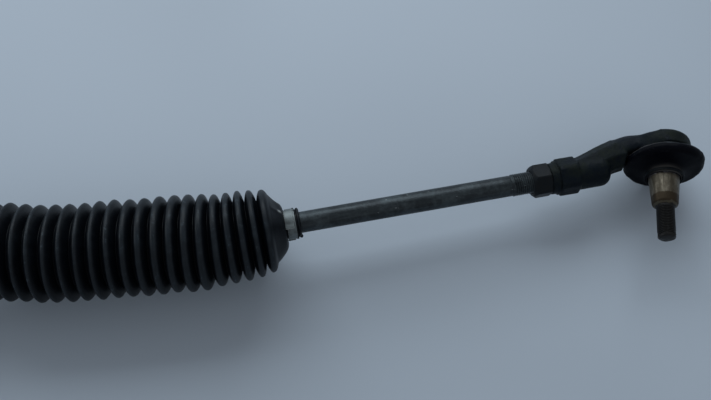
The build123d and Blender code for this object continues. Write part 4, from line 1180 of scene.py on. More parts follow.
    def outline(self) -> list[Station]:
        """The rings of the outer surface, from the large neck to the lip of the small one."""
        neck = self.tube_radius + 2 * MM
        rings = [
            Station(self.seat_start, neck - 0.8 * MM),
            Station(self.seat_start + 0.6 * MM, neck),
            Station(self.fold_start - 3 * MM, neck),
            Station(self.fold_start - 1 * MM, neck + 1 * MM),
        ]
        edges = self.fold_edges()
        (low, high), (sharp, round_power) = self.crest_change, self.crest_powers
        for fold, (start, end) in enumerate(zip(edges, edges[1:])):
            last = fold == self.folds - 1
            for step in range(self.fold_steps):
                across = self.fold_share * (2 * step / (self.fold_steps - 1) - 1)
                distance = (start + end) / 2 + (end - start) / 2 * across
                power = sharp + (round_power - sharp) * smooth((distance - low) / (high - low))
                rise = 1 - abs(across) ** power
                narrowed = self.taper * max(0.0, 1 - (self.cone_start - distance) / self.taper_length)
                root = self.root_radius - narrowed
                if last and across > 0:
                    root = self.cone_radii[0]
                rings.append(
                    Station(distance, root + (self.crest_radius - narrowed - root) * rise, rise, fold)
                )
        neck_start = self.cone_end + 1.0 * MM
        rings += [
            *self.cone(),
            Station(self.cone_end, self.cone_radii[1] - 0.2 * MM),
            Station(self.cone_end + 0.5 * MM, self.cone_radii[1] - 1.4 * MM),
            Station(neck_start, self.neck_radius + 0.8 * MM),
            Station(neck_start + 0.3 * MM, self.neck_radius),
            *(Station(self.lip_end - back * MM, self.neck_radius + out * MM) for back, out in self.lip),
        ]
        return rings

    def cone(self) -> list[Station]:
        """The rings of the cone between the last fold and the small neck."""
        wide, narrow = self.cone_radii
        start, end = self.cone_start + 0.5 * MM, self.cone_end - 0.6 * MM
        rings = []
        for step in range(9):
            share = step / 8
            hollow = 0.8 * MM * math.sin(math.pi * share)
            radius = wide - 0.6 * MM + (narrow - wide + 1.4 * MM) * share - hollow
            rings.append(Station(start + (end - start) * share, radius))
        return rings

    def nick(self, station: Station) -> list[float]:
        """The pale nick in the cone, as a mark for each point of a ring."""
        place = hump(station.distance, self.cone_end - 1.6 * MM, 0.9 * MM)
        return [place * turn_hump(angle, self.crease_angle, 0.05) for angle in turns(self.segments)]

    def surface(self, station: Station, inner: bool) -> list[Vector]:
        """The points of one ring.

        Args:
            station: The ring.
            inner: True for the inside of the rubber.

        Returns:
            The points, in order round the bellows.
        """
        line = self.section(station.distance)
        chance = random.Random(SEED + station.fold)
        lean = chance.uniform(-1, 1) * self.lean * station.crest
        lean_turn = chance.uniform(0, TAU)
        size = chance.uniform(-1, 1) * self.uneven_size * station.crest
        from_end = station.fold - self.folds + len(self.last_sizes)
        if from_end >= 0:
            size = self.last_sizes[from_end] * station.crest
        points = []
        for angle in turns(self.segments):
            radius = station.radius - (self.wall if inner else 0.0)
            distance = 0.0
            if station.fold >= 0:
                distance = lean * math.cos(angle - lean_turn)
                wave = noise.noise(Vector((math.cos(angle) * 1.7, math.sin(angle) * 1.7, station.fold * 3.1)))
                radius += size + wave * self.waviness * station.crest
            if self.cone_start < station.distance < self.cone_end + 0.8 * MM:
                share = (station.distance - self.cone_start) / (self.cone_end - self.cone_start)
                radius += 0.7 * MM * turn_hump(angle, self.crease_angle, 0.07) * smooth(4 * min(share, 1 - share))
                radius -= 0.8 * MM * turn_hump(angle, self.crease_angle - 0.35, 0.25) * math.sin(math.pi * share)
                full = math.sin(math.pi * min(1.0, share * 0.95))
                radius += 1.2 * MM * turn_hump(angle, self.swell_angle, 0.8) * full
                distance += turn_hump(angle, self.swell_angle, 0.9) * (share + 1.6 * full) * MM
            if station.distance > self.lip_end - 4.8 * MM and not inner:
                nib = turn_hump(angle, self.nib_angle, 0.14)
                radius += 0.6 * MM * turn_hump(angle, -1.15, 0.22) + 0.7 * MM * nib
                distance += 0.8 * MM * nib
            points.append(line.at(distance, max(radius, self.least_radius), angle))
        return points

    def seam_index(self, rings: list[Station], place: float) -> int:
        """The ring in a root that lies nearest to a place."""
        roots = [index for index, ring in enumerate(rings) if ring.fold >= 0 and ring.crest < 0.1]
        return min(roots, key=lambda index: abs(rings[index].distance - place))

    def piece(self, rings: list[Station], name: str, side: Side) -> bpy.types.Object:
        """Makes one closed piece of the bellows from a run of rings."""
        made = Draft()
        loops = [made.ring(self.surface(ring, False), crest=ring.crest, mark=self.nick(ring)) for ring in rings]
        loops += [made.ring(self.surface(ring, True)) for ring in reversed(rings)]
        made.bands(loops)
        return made.finish(name, side, self.finishes.of("bellows_rubber"), crease=60)

    def reach(self, ring: Station, start: Vector, along: Vector, side: Side, highest: bool) -> float:
        """How far along a direction the nearest or the furthest point of a ring lies."""
        places = [(mirrored(point, side) - start).dot(along) for point in self.surface(ring, False)]
        return max(places) if highest else min(places)

    def join(self, piece: bpy.types.Object, ends: tuple[Station, Station], side: Side) -> None:
        """Bakes the piece's transform into its mesh; the middles and reaches that it works out are not used.

        Args:
            piece: The piece.
            ends: The rings at its two ends.
            side: The side that it is on.
        """
        middles = [mirrored(self.centre(ring.distance), side) for ring in ends]
        along = (middles[1] - middles[0]).normalized()
        near = self.reach(ends[0], middles[0], along, side, highest=True)
        far = self.reach(ends[1], middles[0], along, side, highest=False)
        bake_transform(piece)

    def build(self, side: Side) -> None:
        """Makes the bellows of one side in three pieces."""
        rings = self.outline()
        yaw_seam = self.seam_index(rings, self.yaw_seam)
        pitch_seam = self.seam_index(rings, self.pitch_seam)
        last = self.seam_index(rings, self.pitch_end)
        end = side.suffix
        first_fold = next(ring for ring in rings if ring.fold == 0)
        near = self.piece(rings[: yaw_seam + 1], "bellows_slide_folds", side)
        bend = self.piece(rings[yaw_seam : pitch_seam + 1], "bellows_yaw_folds", side)
        far = self.piece(rings[pitch_seam:], "bellows_rod_folds", side)
        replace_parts(near, f"bellows_{end}")
        self.join(near, (first_fold, rings[yaw_seam]), side)
        self.join(bend, (rings[yaw_seam], rings[pitch_seam]), side)
        self.join(far, (rings[pitch_seam], rings[last]), side)
        log.info("bellows %s: %d folds in 3 pieces", end, self.folds)


@dataclass
class Clamp:
    """A strap clamp that laps over itself, with a pinched ear.

    Args:
        name: The name of its pieces.
        node: The CAD node that it stands for.
        body: The body that it rides on, without the side.
        line: The axis that it goes round.
        start: Where it starts along the axis.
        width: How wide the strap is.
        radius: The radius that it is wound on.
        band: How thick the strap is.
        tail_angle: Where the outer end of the strap shows, in radians.
        skew: How far the outer layer lies towards the start from the inner one.
        lift: How far the outer end of the strap stands off.
        ear_angle: Where the ear stands.
        ear_height: How high the ear is.
    """

    name: str
    node: str
    body: str
    line: Line
    start: float
    width: float
    radius: float
    band: float = 0.8 * MM
    tail_angle: float = 0.73
    skew: float = 0.7 * MM
    lift: float = 0.2 * MM
    ear_angle: float = 2.7
    ear_height: float = 2.4 * MM

    def strap(self) -> Draft:
        """The strap: one turn and a lap, as a strip with rounded edges."""
        lap, steps = 1.25, 150
        made = Draft()
        loops = []
        for step in range(steps + 1):
            angle = self.tail_angle - (TAU + lap) + (TAU + lap) * step / steps
            over = smooth((angle - (self.tail_angle - lap - 0.12)) / 0.14)
            low = self.radius + self.band * over + 0.02 * MM
            low += self.lift * smooth(1 - (self.tail_angle - angle) / 0.3)
            high = low + self.band
            edge = 0.22 * MM
            section = [
                (0.0, low),
                (0.0, high - edge),
                (edge, high),
                (self.width - edge, high),
                (self.width, high - edge),
                (self.width, low),
            ]
            shift = self.start + self.skew * (0.5 - over)
            points = [self.line.at(shift + place, radius, angle) for place, radius in section]
            loops.append(made.ring(points))
        made.bands(loops, closed=False)
        made.faces.append(tuple(loops[0]))
        made.faces.append(tuple(reversed(loops[-1])))
        return made

    def ear(self) -> Draft:
        """The pinched ear: a bridge of strap with a waist."""
        made = Draft()
        loops = []
        width = self.width * 0.82
        base = self.radius + self.band
        flank = [(-0.5, 0.0), (-0.36, 0.55), (-0.42, 0.9), (-0.2, 1.0)]
        outline = flank + [(-across, height) for across, height in reversed(flank)]
        span = 5.2 * MM / self.radius
        margin = (self.width - width) / 2
        for place in (margin, margin + 0.3 * MM, margin + width - 0.3 * MM, margin + width):
            inset = 0.88 if place in (margin, margin + width) else 1.0
            points = []
            for across, height in outline:
                angle = self.ear_angle + across * span * inset
                points.append(self.line.at(self.start + place, base + height * self.ear_height * inset, angle))
            loops.append(made.ring(points))
        for one, other in zip(loops, loops[1:]):
            made.bridge(other, one)
        made.faces.append(tuple(reversed(loops[-1])))
        made.faces.append(tuple(loops[0]))
        return made

    def build(self, finishes: Finishes, side: Side) -> None:
        """Makes the clamp of one side."""
        body = self.body if self.body == "housing" else f"{self.body}_{side.suffix}"
        steel = finishes.of("clamp_steel")
        strap = self.strap().finish(f"{self.name}_strap", side, steel, crease=35)
        ear = self.ear().finish(f"{self.name}_ear", side, steel, crease=35)
        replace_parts(strap, f"{self.node}_{side.suffix}")
        for piece in (strap, ear):
            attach(piece, body)
        log.info("%s %s", self.name, side.suffix)


# ---------------------------------------------------------------- tie rod and its end


@dataclass
class InnerRod:
    """The inner tie rod: ball, drawn bar and thread.

    Args:
        axes: The axes of the right-hand tie rod.
        ball_radius: The radius of the inner ball.
        neck_radius: The radius behind the ball.
        radius: The radius of the bar.
        thread_radius: The outer radius of the thread.
        nut_set_back: From the outer ball back to the face of the jam nut.
        nut_length: How long the jam nut is.
        thread_shown: How much thread shows before the nut.
        engagement: How far the rod goes into the tie rod end.
    """

    axes: TieRodAxes
    ball_radius: float = 12.0 * MM
    neck_radius: float = 5.75 * MM
    radius: float = 7.5 * MM
    thread_radius: float = 8.0 * MM
    nut_set_back: float = 101.0 * MM
    nut_length: float = 13.5 * MM
    thread_shown: float = 14.0 * MM
    engagement: float = 30.0 * MM

    @property
    def nut_start(self) -> float:
        """Where the jam nut starts along the rod."""
        return self.axes.reach - self.nut_set_back

    def profile(self) -> list[tuple[float, float]]:
        """The outline of the rod from the ball to the tip."""
        joined = math.acos(math.sqrt(1 - (self.neck_radius / self.ball_radius) ** 2))
        ball = []
        for step in range(1, 19):
            turn = math.pi - (math.pi - joined) * step / 18
            ball.append((self.ball_radius * math.cos(turn), self.ball_radius * math.sin(turn)))
        root = ball[-1][0]
        nut = self.nut_start
        thread = nut - self.thread_shown
        tip = nut + self.nut_length + self.engagement
        return ball + [
            (root + 5 * MM, self.neck_radius),
            (root + 14 * MM, self.radius),
            (thread - 1.4 * MM, self.radius),
            (thread - 1.0 * MM, self.radius - 0.25 * MM),
            (thread - 0.6 * MM, self.radius),
            (thread - 0.2 * MM, self.radius),
            (thread + 0.3 * MM, self.thread_radius),
            (nut + 1 * MM, self.thread_radius),
            (tip - 1.5 * MM, self.thread_radius),
            (tip, self.thread_radius - 1.5 * MM),
        ]

    def build(self, finishes: Finishes, side: Side) -> None:
        """Makes the rod of one side."""
        nut = self.nut_start
        thread = Thread(nut - self.thread_shown + 0.3 * MM, nut + 1 * MM, 1.5 * MM, 0.9 * MM)
        bar = TurnedBar(self.axes.rod, self.profile(), thread, segments=96, roughness=0.00007)
        rod = bar.draft().finish("drawn_rod", side, finishes.of("dark_steel"), crease=50)
        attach(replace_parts(rod, f"tie_rod_{side.suffix}"), f"tie_rod_{side.suffix}")
        log.info("inner rod %s", side.suffix)


@dataclass
class JamNut:
    """The hexagon nut that locks the tie rod end, chamfered on its outer face.

    Args:
        rod: The rod that it turns on.
        length: How long it is.
        flats: Its size across flats.
        crown: The radius of its outer face inside the chamfer.
        chamfer: How far along the nut the chamfer reaches at the corners.
        corner_angle: The turn of one of its corners from up, in radians.
        softness: How much its corners are rounded.
        back_slope: How steeply it is rounded off against the tie rod end.
        back_rim: How much wider than the crown its face is there.
        countersink: How much wider than the thread the bore is at the outer face.
        clearance: How much wider it is elsewhere.
        segments: How many vertices go round it.
    """

    rod: InnerRod
    length: float = 13.5 * MM
    flats: float = 22.0 * MM
    crown: float = 10.0 * MM
    chamfer: float = 3.2 * MM
    corner_angle: float = 0.27
    softness: float = 0.25 * MM
    back_slope: float = 2.4
    back_rim: float = 0.9 * MM
    countersink: float = 0.9 * MM
    clearance: float = 0.03 * MM
    segments: int = 180

    def radius(self, depth: float, angle: float) -> float:
        """The radius at a depth from the outer face and a turn round the nut."""
        from_flat = (angle - self.corner_angle) % (math.pi / 3) - math.pi / 6
        hexagon = self.flats / 2 / math.cos(from_flat)
        corner = self.flats / 2 / math.cos(math.pi / 6)
        blunted = min(hexagon, corner - self.softness)
        slope = (corner - self.crown) / self.chamfer
        last = self.crown + (self.length - depth) * self.back_slope + self.back_rim
        return min(blunted, self.crown + depth * slope, last)

    def build(self, finishes: Finishes, side: Side) -> None:
        """Makes the nut of one side."""
        axes = self.rod.axes
        start = self.rod.nut_start
        made = Draft()
        loops = []
        depths = [0.0] + [self.chamfer * step / 8 for step in range(1, 9)] + [self.length * 0.6]
        depths += [self.length - 1.2 * MM, self.length - 0.6 * MM, self.length]
        angles = turns(self.segments)
        for depth in depths:
            points = [axes.rod.at(start + depth, self.radius(depth, angle), angle) for angle in angles]
            loops.append(made.ring(points))
        for depth in (self.length, 0.6 * MM, 0.0):
            bore = self.rod.thread_radius + (self.clearance if depth else self.countersink)
            loops.append(made.ring([axes.rod.at(start + depth, bore, angle) for angle in angles]))
        made.bands(loops)
        nut = made.finish("hexagon_nut", side, finishes.of("nut_steel"), crease=24)
        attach(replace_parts(nut, f"jam_nut_{side.suffix}"), f"tie_rod_{side.suffix}")
        log.info("jam nut %s", side.suffix)


@dataclass
class BallStud:
    """The tapered ball stud with its thread.

    Args:
        axes: The axes of the right-hand tie rod.
        ball_radius: The radius of the outer ball.
        neck_radius: The radius between the ball and the land.
        land_start: Where the land starts, from the ball centre.
        taper_start: Where the taper starts.
        taper_end: Where it ends.
        taper_radii: Its radii at the two ends.
        thread_radius: The outer radius of the thread.
        thread_pitch: Its pitch.
        reach: Where the stud ends.
    """

    axes: TieRodAxes
    ball_radius: float = 11.0 * MM
    neck_radius: float = 6.6 * MM
    land_start: float = 13.0 * MM
    taper_start: float = 17.5 * MM
    taper_end: float = 38.0 * MM
    taper_radii: tuple[float, float] = (10.9 * MM, 9.2 * MM)
    thread_radius: float = 6.35 * MM
    thread_pitch: float = 1.27 * MM
    reach: float = 65.0 * MM

    def profile(self) -> list[tuple[float, float]]:
        """The outline of the stud from the ball to the tip."""
        flat = math.radians(150)
        joined = math.asin(self.neck_radius / self.ball_radius)
        ball = []
        for step in range(15):
            turn = flat - (flat - joined) * step / 14
            ball.append((self.ball_radius * math.cos(turn), self.ball_radius * math.sin(turn)))
        wide, narrow = self.taper_radii
        end = self.taper_end
        return ball + [
            (self.land_start - 2 * MM, self.neck_radius),
            (self.land_start - 0.4 * MM, wide - 0.4 * MM),
            (self.land_start, wide),
            (self.taper_start, wide),
            (end - 0.9 * MM, narrow),
            (end, narrow - 0.35 * MM),
            (end + 1.6 * MM, self.thread_radius + 0.3 * MM),
            (end + 1.8 * MM, self.thread_radius),
            (self.reach - 1.8 * MM, self.thread_radius),
            (self.reach - 0.6 * MM, self.thread_radius - 0.9 * MM),
            (self.reach, self.thread_radius - 2.0 * MM),
        ]

    def build(self, finishes: Finishes, side: Side) -> None:
        """Makes the stud of one side."""
        thread = Thread(self.taper_end + 2.2 * MM, self.reach - 1.2 * MM, self.thread_pitch, 0.7 * MM)
        bar = TurnedBar(self.axes.stud, self.profile(), thread, segments=88, roughness=0.00006)
        draft = bar.draft(wear_start=self.reach - 6 * MM, wear_depth=0.9 * MM)
        stud = draft.finish("tapered_stud", side, finishes.of("stud_steel"), crease=50)
        node = f"ball_stud_{side.suffix}"
        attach(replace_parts(stud, node), node)
        log.info("ball stud %s", side.suffix)


@dataclass
class ForgedPiece:
    """A forging made from its CAD node, with the soft corners and uneven skin of hot-forged iron.

    Args:
        node: The CAD node, without its side.
        name: The name of the new piece.
        body: The body that it rides on, without the side.
        axes: The axes of the right-hand tie rod.
        collar: Where its collar starts and ends along the rod, from the outer ball.
        collar_swell: How far the collar stands out more than the node's.
        shoulder: Where the neck runs up to the head, along the rod from the outer ball.
        shoulder_rise: How far the neck is filled out there, on the closed side of the head.
        shoulder_width: Over what length it is filled out.
        shoulder_depth: How far to the closed side that begins.
        collar_inside: The radius inside which the collar isn't swollen.
        junction: Where the neck is blended into the head, along the rod from the outer ball.
        junction_depth: How far to the open side it is blended.
        voxel: How fine the skin is.
        passes: How much its corners are softened.
        junction_passes: How much the neck is blended into the head.
        unevenness: How far the skin wanders.
        wander_scales: How fine its coarse and its fine wandering are.
        fine_share: How strong the fine wandering is against the coarse.
    """

    node: str
    name: str
    body: str
    axes: TieRodAxes
    collar: tuple[float, float] = (-88.0 * MM, -82.0 * MM)
    collar_swell: float = 1.2 * MM
    shoulder: float = -19.0 * MM
    shoulder_rise: float = 2.8 * MM
    shoulder_width: float = 11.0 * MM
    shoulder_depth: float = 5.0 * MM
    collar_inside: float = 9.4 * MM
    junction: tuple[float, float] = (-34.0 * MM, -2.0 * MM)
    junction_depth: float = 2.0 * MM
    voxel: float = 0.65 * MM
    passes: int = 5
    junction_passes: int = 140
    unevenness: float = 0.16 * MM
    wander_scales: tuple[float, float] = (95.0, 330.0)
    fine_share: float = 0.45

    def build(self, finishes: Finishes, side: Side) -> None:
        """Makes the forging of one side."""
        source = frame["nodes"][f"{self.node}_{side.suffix}"]
        draft = bpy.data.objects.new("forging_draft", source.data.copy())
        bpy.context.scene.collection.objects.link(draft)
        self._skin(draft)
        mesh = bpy.data.meshes.new_from_object(draft.evaluated_get(bpy.context.evaluated_depsgraph_get()))
        bpy.data.objects.remove(draft)
        self._soften(mesh, side)
        mesh.name = f"{self.name}_{side.suffix}"
        piece = place_mesh(mesh, mesh.name, finishes.of("forged_iron"), 60)
        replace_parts(piece, source.name)
        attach(piece, f"{self.body}_{side.suffix}")
        log.info("forging %s: %d faces", side.suffix, len(mesh.polygons))

    def _skin(self, draft: bpy.types.Object) -> None:
        """Gives the draft one even skin."""
        weld = draft.modifiers.new("weld", "WELD")
        weld.merge_threshold = 0.01 * MM
        skin = draft.modifiers.new("skin", "REMESH")
        skin.mode = "VOXEL"
        skin.voxel_size = self.voxel

    @staticmethod
    def _relax(shape: bmesh.types.BMesh, verts: list[bmesh.types.BMVert]) -> None:
        """Moves each vertex half way to the middle of its neighbours."""
        bmesh.ops.smooth_vert(shape, verts=verts, factor=0.5, use_axis_x=True, use_axis_y=True, use_axis_z=True)

    def _soften(self, mesh: bpy.types.Mesh, side: Side) -> None:
        """Rounds the corners and lets the skin wander."""
        shape = bmesh.new()
        shape.from_mesh(mesh)
        for _ in range(self.passes):
            self._relax(shape, list(shape.verts))
        back = -self.axes.head.along
        junction = []
        for vertex in shape.verts:
            out = mirrored(vertex.co, side) - self.axes.head.origin
            along = out.dot(self.axes.rod.along)
            away = out - self.axes.rod.along * along
            if self.collar[0] < along < self.collar[1] and away.length > self.collar_inside:
                out += away.normalized() * self.collar_swell
            if out.dot(back) > self.shoulder_depth:
                out += back * self.shoulder_rise * hump(along, self.shoulder, self.shoulder_width)
            vertex.co = mirrored(out + self.axes.head.origin, side)
            if self.junction[0] < along < self.junction[1] and out.dot(back) > -self.junction_depth:
                junction.append(vertex)
        for _ in range(self.junction_passes):
            self._relax(shape, junction)
        shape.normal_update()
        coarse, fine = self.wander_scales
        for vertex in shape.verts:
            place = mirrored(vertex.co, side)
            wander = noise.noise(place * coarse) + self.fine_share * noise.noise(place * fine)
            vertex.co += vertex.normal * wander * self.unevenness
        shape.to_mesh(mesh)
        shape.free()


@dataclass
class DustBoot:
    """The rubber boot between the head and the stud, pressed flat, with a hollow round the stud.

    Args:
        axes: The axes of the right-hand tie rod.
        finishes: The materials.
        groove_radius: The radius of the groove in the head.
        groove: Where the groove starts and ends, from the ball centre.
        bulge_radius: The widest radius of the boot.
        bulge_middle: Where it is widest, from the ball centre.
        bulge_depth: How deep the bulge is along the stud.
        mouth_radius: The radius that clears the mouth of the head.
        stud_radius: The radius of the stud where the boot holds it.
        lip_start: Where the lip on the stud starts.
        lip_end: Where it ends.
        wall: How thick the rubber is.
        dusty_angle: Where the painted highlight on the back edge of its bulge lies, round the boot.
        segments: How many vertices go round it.
    """

    axes: TieRodAxes
    finishes: Finishes
    groove_radius: float = 18.0 * MM
    groove: tuple[float, float] = (-3.2 * MM, 2.2 * MM)
    bulge_radius: float = 28.7 * MM
    bulge_middle: float = 4.7 * MM
    bulge_depth: float = 8.0 * MM
    mouth_radius: float = 19.1 * MM
    stud_radius: float = 11.1 * MM
    lip_start: float = 13.4 * MM
    lip_end: float = 16.8 * MM
    wall: float = 1.7 * MM
    dusty_angle: float = 0.95
    segments: int = 128

    def bulge(self, half: float) -> list[tuple[float, float]]:
        """The rim of the bulge: half a circle of the given radius."""
        centre = self.bulge_radius - self.bulge_depth / 2
        rim = [math.radians(turn) for turn in range(0, 181, 15)]
        return [(self.bulge_middle - half * math.cos(turn), centre + half * math.sin(turn)) for turn in rim]

    def outline(self) -> list[tuple[float, float]]:
        """The outer outline from the groove, round the bulge and in to the lip."""
        neck, lip = self.groove_radius + self.wall, self.stud_radius + self.wall
        half = self.bulge_depth / 2
        rings = [(self.groove[0], neck), (self.bulge_middle - half - 0.5 * MM, neck), *self.bulge(half)]
        front = self.bulge_middle + half
        return rings + [
            (front + 0.1 * MM, self.bulge_radius - half - 2 * MM),
            (front + 0.6 * MM, self.bulge_radius - half - 5 * MM),
            (front + 1.5 * MM, lip + 3.2 * MM),
            (front + 2.2 * MM, lip + 1.4 * MM),
            (self.lip_start - 1.4 * MM, lip + 0.3 * MM),
            (self.lip_start - 0.2 * MM, lip),
            (self.lip_end - 0.8 * MM, lip),
            (self.lip_end, lip - 0.7 * MM),
        ]

    def lining(self) -> list[tuple[float, float]]:
        """The inner outline, from the groove to the lip."""
        half = self.bulge_depth / 2
        front = self.bulge_middle + half
        return [
            (self.groove[0], self.groove_radius),
            (self.groove[1], self.groove_radius),
            (self.groove[1] + 0.15 * MM, self.mouth_radius),
            *self.bulge(half - self.wall),
            (front - 0.1 * MM, self.mouth_radius + 1.5 * MM),
            (front, self.mouth_radius),
            (front + 0.2 * MM, self.stud_radius + 3.9 * MM),
            (self.lip_start - 0.6 * MM, self.stud_radius),
            (self.lip_end - 0.7 * MM, self.stud_radius),
            (self.lip_end, self.stud_radius + 0.4 * MM),
        ]

    def section(self, distance: float) -> Line:
        """A line that turns from the head's axis to the stud's as it moves outwards."""
        share = smooth((distance - self.groove[1]) / (self.lip_start - self.groove[1]))
        along = (self.axes.head.along * (1 - share) + self.axes.stud.along * share).normalized()
        return Line(self.axes.head.origin, along, self.axes.head.up)

    def surface(self, distance: float, radius: float) -> list[Vector]:
        """The points of one ring, with the dents and crimps of soft old rubber."""
        line = self.section(distance)
        held = self.stud_radius + 3 * MM if distance > self.bulge_middle else self.groove_radius + self.wall
        loose = smooth((radius - held) / (6 * MM))
        points = []
        for angle in turns(self.segments):
            spot = Vector((math.cos(angle) * 1.5, math.sin(angle) * 1.5, 4.2))
            wave = noise.noise(spot) * 0.9 * MM
            crimp = noise.noise(spot * 3.4 + Vector((0, 0, radius * 60))) * 0.5 * MM
            sunk = turn_hump(angle, 2.2, 0.5) * 1.0 * MM
            place = distance + (wave * 0.6 - sunk * 0.5) * loose
            points.append(line.at(place, radius - abs(wave + crimp) * loose, angle))
        return points

    def marked(self, place: float, radius: float) -> list[float]:
        """Where highlights are painted: a line along the back edge of the bulge on one side, where light catches it,
        and the top of the lip on the stud, partly dust.
        """
        back = self.bulge_middle - self.bulge_depth / 2
        edge = hump(place, back + 0.6 * MM, 0.7 * MM) * (radius > self.mouth_radius)
        lip = 0.45 * smooth((place - self.lip_start + 2 * MM) / (2 * MM))
        marks = []
        for angle in turns(self.segments):
            marks.append(max(edge * turn_hump(angle, self.dusty_angle, 0.55), lip * turn_hump(angle, 0.0, 1.0)))
        return marks

    def build(self, side: Side) -> None:
        """Makes the boot of one side."""
        made = Draft()
        middle = (self.bulge_radius + self.stud_radius) / 2
        loops = []
        for place, radius in self.outline():
            crest = smooth((radius - middle) / (6 * MM))
            loops.append(made.ring(self.surface(place, radius), crest=crest, mark=self.marked(place, radius)))
        for place, radius in reversed(self.lining()):
            loops.append(made.ring(self.surface(place, radius)))
        made.bands(loops)
        end = side.suffix
        boot = made.finish("pressed_boot", side, self.finishes.of("boot_rubber"), crease=60)
        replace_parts(boot, f"dust_boot_{end}")
        start = self.axes.head.at(self.groove[1])
        stop = self.axes.head.at(self.lip_start - 0.4 * MM)
        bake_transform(boot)
        log.info("dust boot %s", end)


# ---------------------------------------------------------------- studio


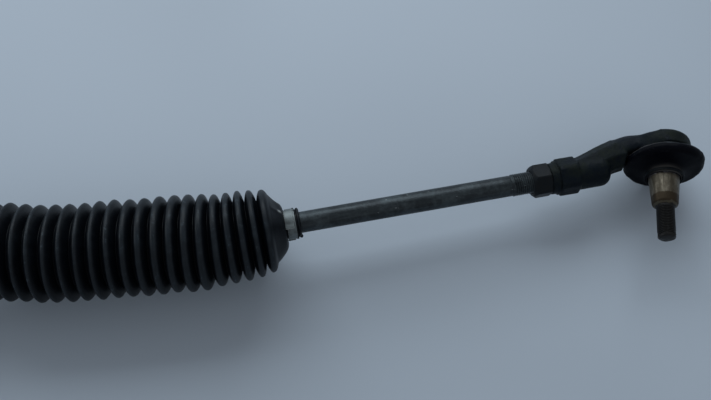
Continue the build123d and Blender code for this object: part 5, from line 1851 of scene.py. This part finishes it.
@dataclass
class Studio:
    """The floor, the lamps and the camera.

    Args:
        floor_size: The width of the floor.
        floor_colour: Its colour.
        lamp_colour: The colour of the lamps.
        lamp_aim: The place that the lamps face.
        sky_colour: The colour of the sky.
        sky_strength: How bright the sky is.
        camera_place: Where the camera stands.
        elevation: How steeply it looks down, in degrees.
        focal_pixels: Its focal length in pixels of the picture.
        picture_width: The width of the picture in pixels.
    """

    floor_size: float = 8.0
    floor_colour: Colour = (0.53, 0.61, 0.71)
    lamp_colour: Colour = (0.89, 0.96, 1.0)
    lamp_aim: tuple[float, float, float] = (0.42, 0.03, 0.02)
    sky_colour: Colour = (0.9, 0.95, 1.0)
    sky_strength: float = 0.27
    camera_place: tuple[float, float, float] = (0.4755, -0.1786, 0.6375)
    elevation: float = 70.0
    focal_pixels: float = 900.0
    picture_width: float = 711.0

    def lay_floor(self) -> None:
        """Lays a plain pale floor under the gear."""
        half = self.floor_size / 2
        mesh = bpy.data.meshes.new("floor")
        mesh.from_pydata([(-half, -half, 0), (half, -half, 0), (half, half, 0), (-half, half, 0)], [], [(0, 1, 2, 3)])
        floor = bpy.data.objects.new("floor", mesh)
        bpy.context.scene.collection.objects.link(floor)
        material = bpy.data.materials.new("pale_floor")
        material.use_nodes = True
        bench = NodeBench(material.node_tree)
        cloud = bench.noise(bench.add("TexCoord").outputs["Object"], 1.6, detail=2.0)
        darker = tuple(0.86 * part for part in self.floor_colour)
        colour = bench.mix(bench.between(cloud, 0.3, 0.7), self.floor_colour, darker)
        shader = bench.add("BsdfPrincipled", Base_Color=colour)
        shader.inputs["Roughness"].default_value = 0.5
        shader.inputs["Specular IOR Level"].default_value = 0.25
        close_material(bench, shader)
        mesh.materials.append(material)

    def hang_lamp(self, name: str, place: tuple[float, float, float], size: tuple[float, float], power: float) -> None:
        """Hangs a soft lamp that faces the tie rod.

        Args:
            name: The name of the lamp.
            place: Where it hangs.
            size: Its width and height.
            power: Its power in watts.
        """
        data = bpy.data.lights.new(name, "AREA")
        data.shape = "RECTANGLE"
        data.size, data.size_y = size
        data.energy = power
        data.color = self.lamp_colour
        lamp = bpy.data.objects.new(name, data)
        lamp.location = place
        aim = Vector(self.lamp_aim) - Vector(place)
        lamp.rotation_euler = aim.to_track_quat("-Z", "Y").to_euler()
        bpy.context.scene.collection.objects.link(lamp)

    def light(self) -> None:
        """Sets the sky and the lamps."""
        world = bpy.data.worlds.new("studio")
        world.use_nodes = True
        sky = world.node_tree.nodes["Background"]
        sky.inputs["Color"].default_value = (*self.sky_colour, 1.0)
        sky.inputs["Strength"].default_value = self.sky_strength
        bpy.context.scene.world = world
        self.hang_lamp("window", (0.25, 1.65, 1.3), (2.4, 1.2), 26.0)
        self.hang_lamp("side", (-1.3, 0.5, 0.5), (0.9, 0.5), 5.0)
        self.hang_lamp("fill", (1.3, -0.9, 1.5), (1.2, 1.2), 1.0)

    def set_camera(self) -> None:
        """Sets the camera that looks down on the right-hand tie rod."""
        data = bpy.data.cameras.new("camera")
        data.lens = self.focal_pixels / self.picture_width * data.sensor_width
        data.clip_start = 0.01
        camera = bpy.data.objects.new("camera", data)
        camera.location = self.camera_place
        camera.rotation_euler = (math.radians(90 - self.elevation), 0, 0)
        bpy.context.scene.collection.objects.link(camera)
        bpy.context.scene.camera = camera

    def build(self) -> None:
        """Sets up the whole studio."""
        self.set_camera()
        self.lay_floor()
        self.light()
        settings = bpy.context.scene.view_settings
        settings.view_transform = "Standard"
        log.info("studio ready")


def build_clamps(axes: TieRodAxes, finishes: Finishes, side: Side, housing_end: float, tube_radius: float) -> None:
    """Makes both clamps of one bellows.

    Args:
        axes: The axes of the right-hand tie rod.
        finishes: The materials.
        side: The side to make them for.
        housing_end: Where the housing ends along X.
        tube_radius: The radius of the housing there.
    """
    groove_inset, groove_width = 3.5 * MM, 8.0 * MM
    small_start, small_width, small_radius = 108.5 * MM, 6.4 * MM, 10.0 * MM
    start = housing_end - groove_inset - groove_width - axes.rack.origin.x
    large = Clamp(
        "large_clamp", "bellows_large_clamp", "housing", axes.rack, start, groove_width, tube_radius + 2 * MM,
        skew=0.0, ear_height=3.6 * MM, ear_angle=-0.5,
    )
    small = Clamp(
        "small_clamp", "bellows_small_clamp", "tie_rod", axes.rod, small_start, small_width, small_radius,
        skew=1.2 * MM, lift=1.0 * MM,
    )
    for clamp in (large, small):
        clamp.build(finishes, side)


def main() -> None:
    """Builds the gear's looks in order and reports each piece."""
    logging.basicConfig(level=logging.INFO, format="%(name)s: %(message)s")
    axes = TieRodAxes.from_joints(head_cant=14.0, stud_tilt=4.0)
    studio = Studio()
    studio.build()
    stud = BallStud(axes)
    finishes = Finishes(Effects(), axes, stud)
    log.info("dressed %d nodes", finishes.dress_nodes())
    tube_low, tube_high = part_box("rack_tube")
    tube_radius = (tube_high.y - tube_low.y) / 2
    ball_x = axes.rack.origin.x
    seat_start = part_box("bellows_right")[0].x - ball_x
    bellows = Bellows(axes, finishes, tube_radius, seat_start, fold_start=tube_high.x + 8 * MM - ball_x)
    rod = InnerRod(axes)
    nut = JamNut(rod)
    forging = ForgedPiece("tie_rod_end", "forged_end", "tie_rod", axes)
    boot = DustBoot(axes, finishes)
    for side in Side:
        bellows.build(side)
        build_clamps(axes, finishes, side, tube_high.x, tube_radius)
        rod.build(finishes, side)
        nut.build(finishes, side)
        stud.build(finishes, side)
        forging.build(finishes, side)
        boot.build(side)


if __name__ == "__main__":
    main()
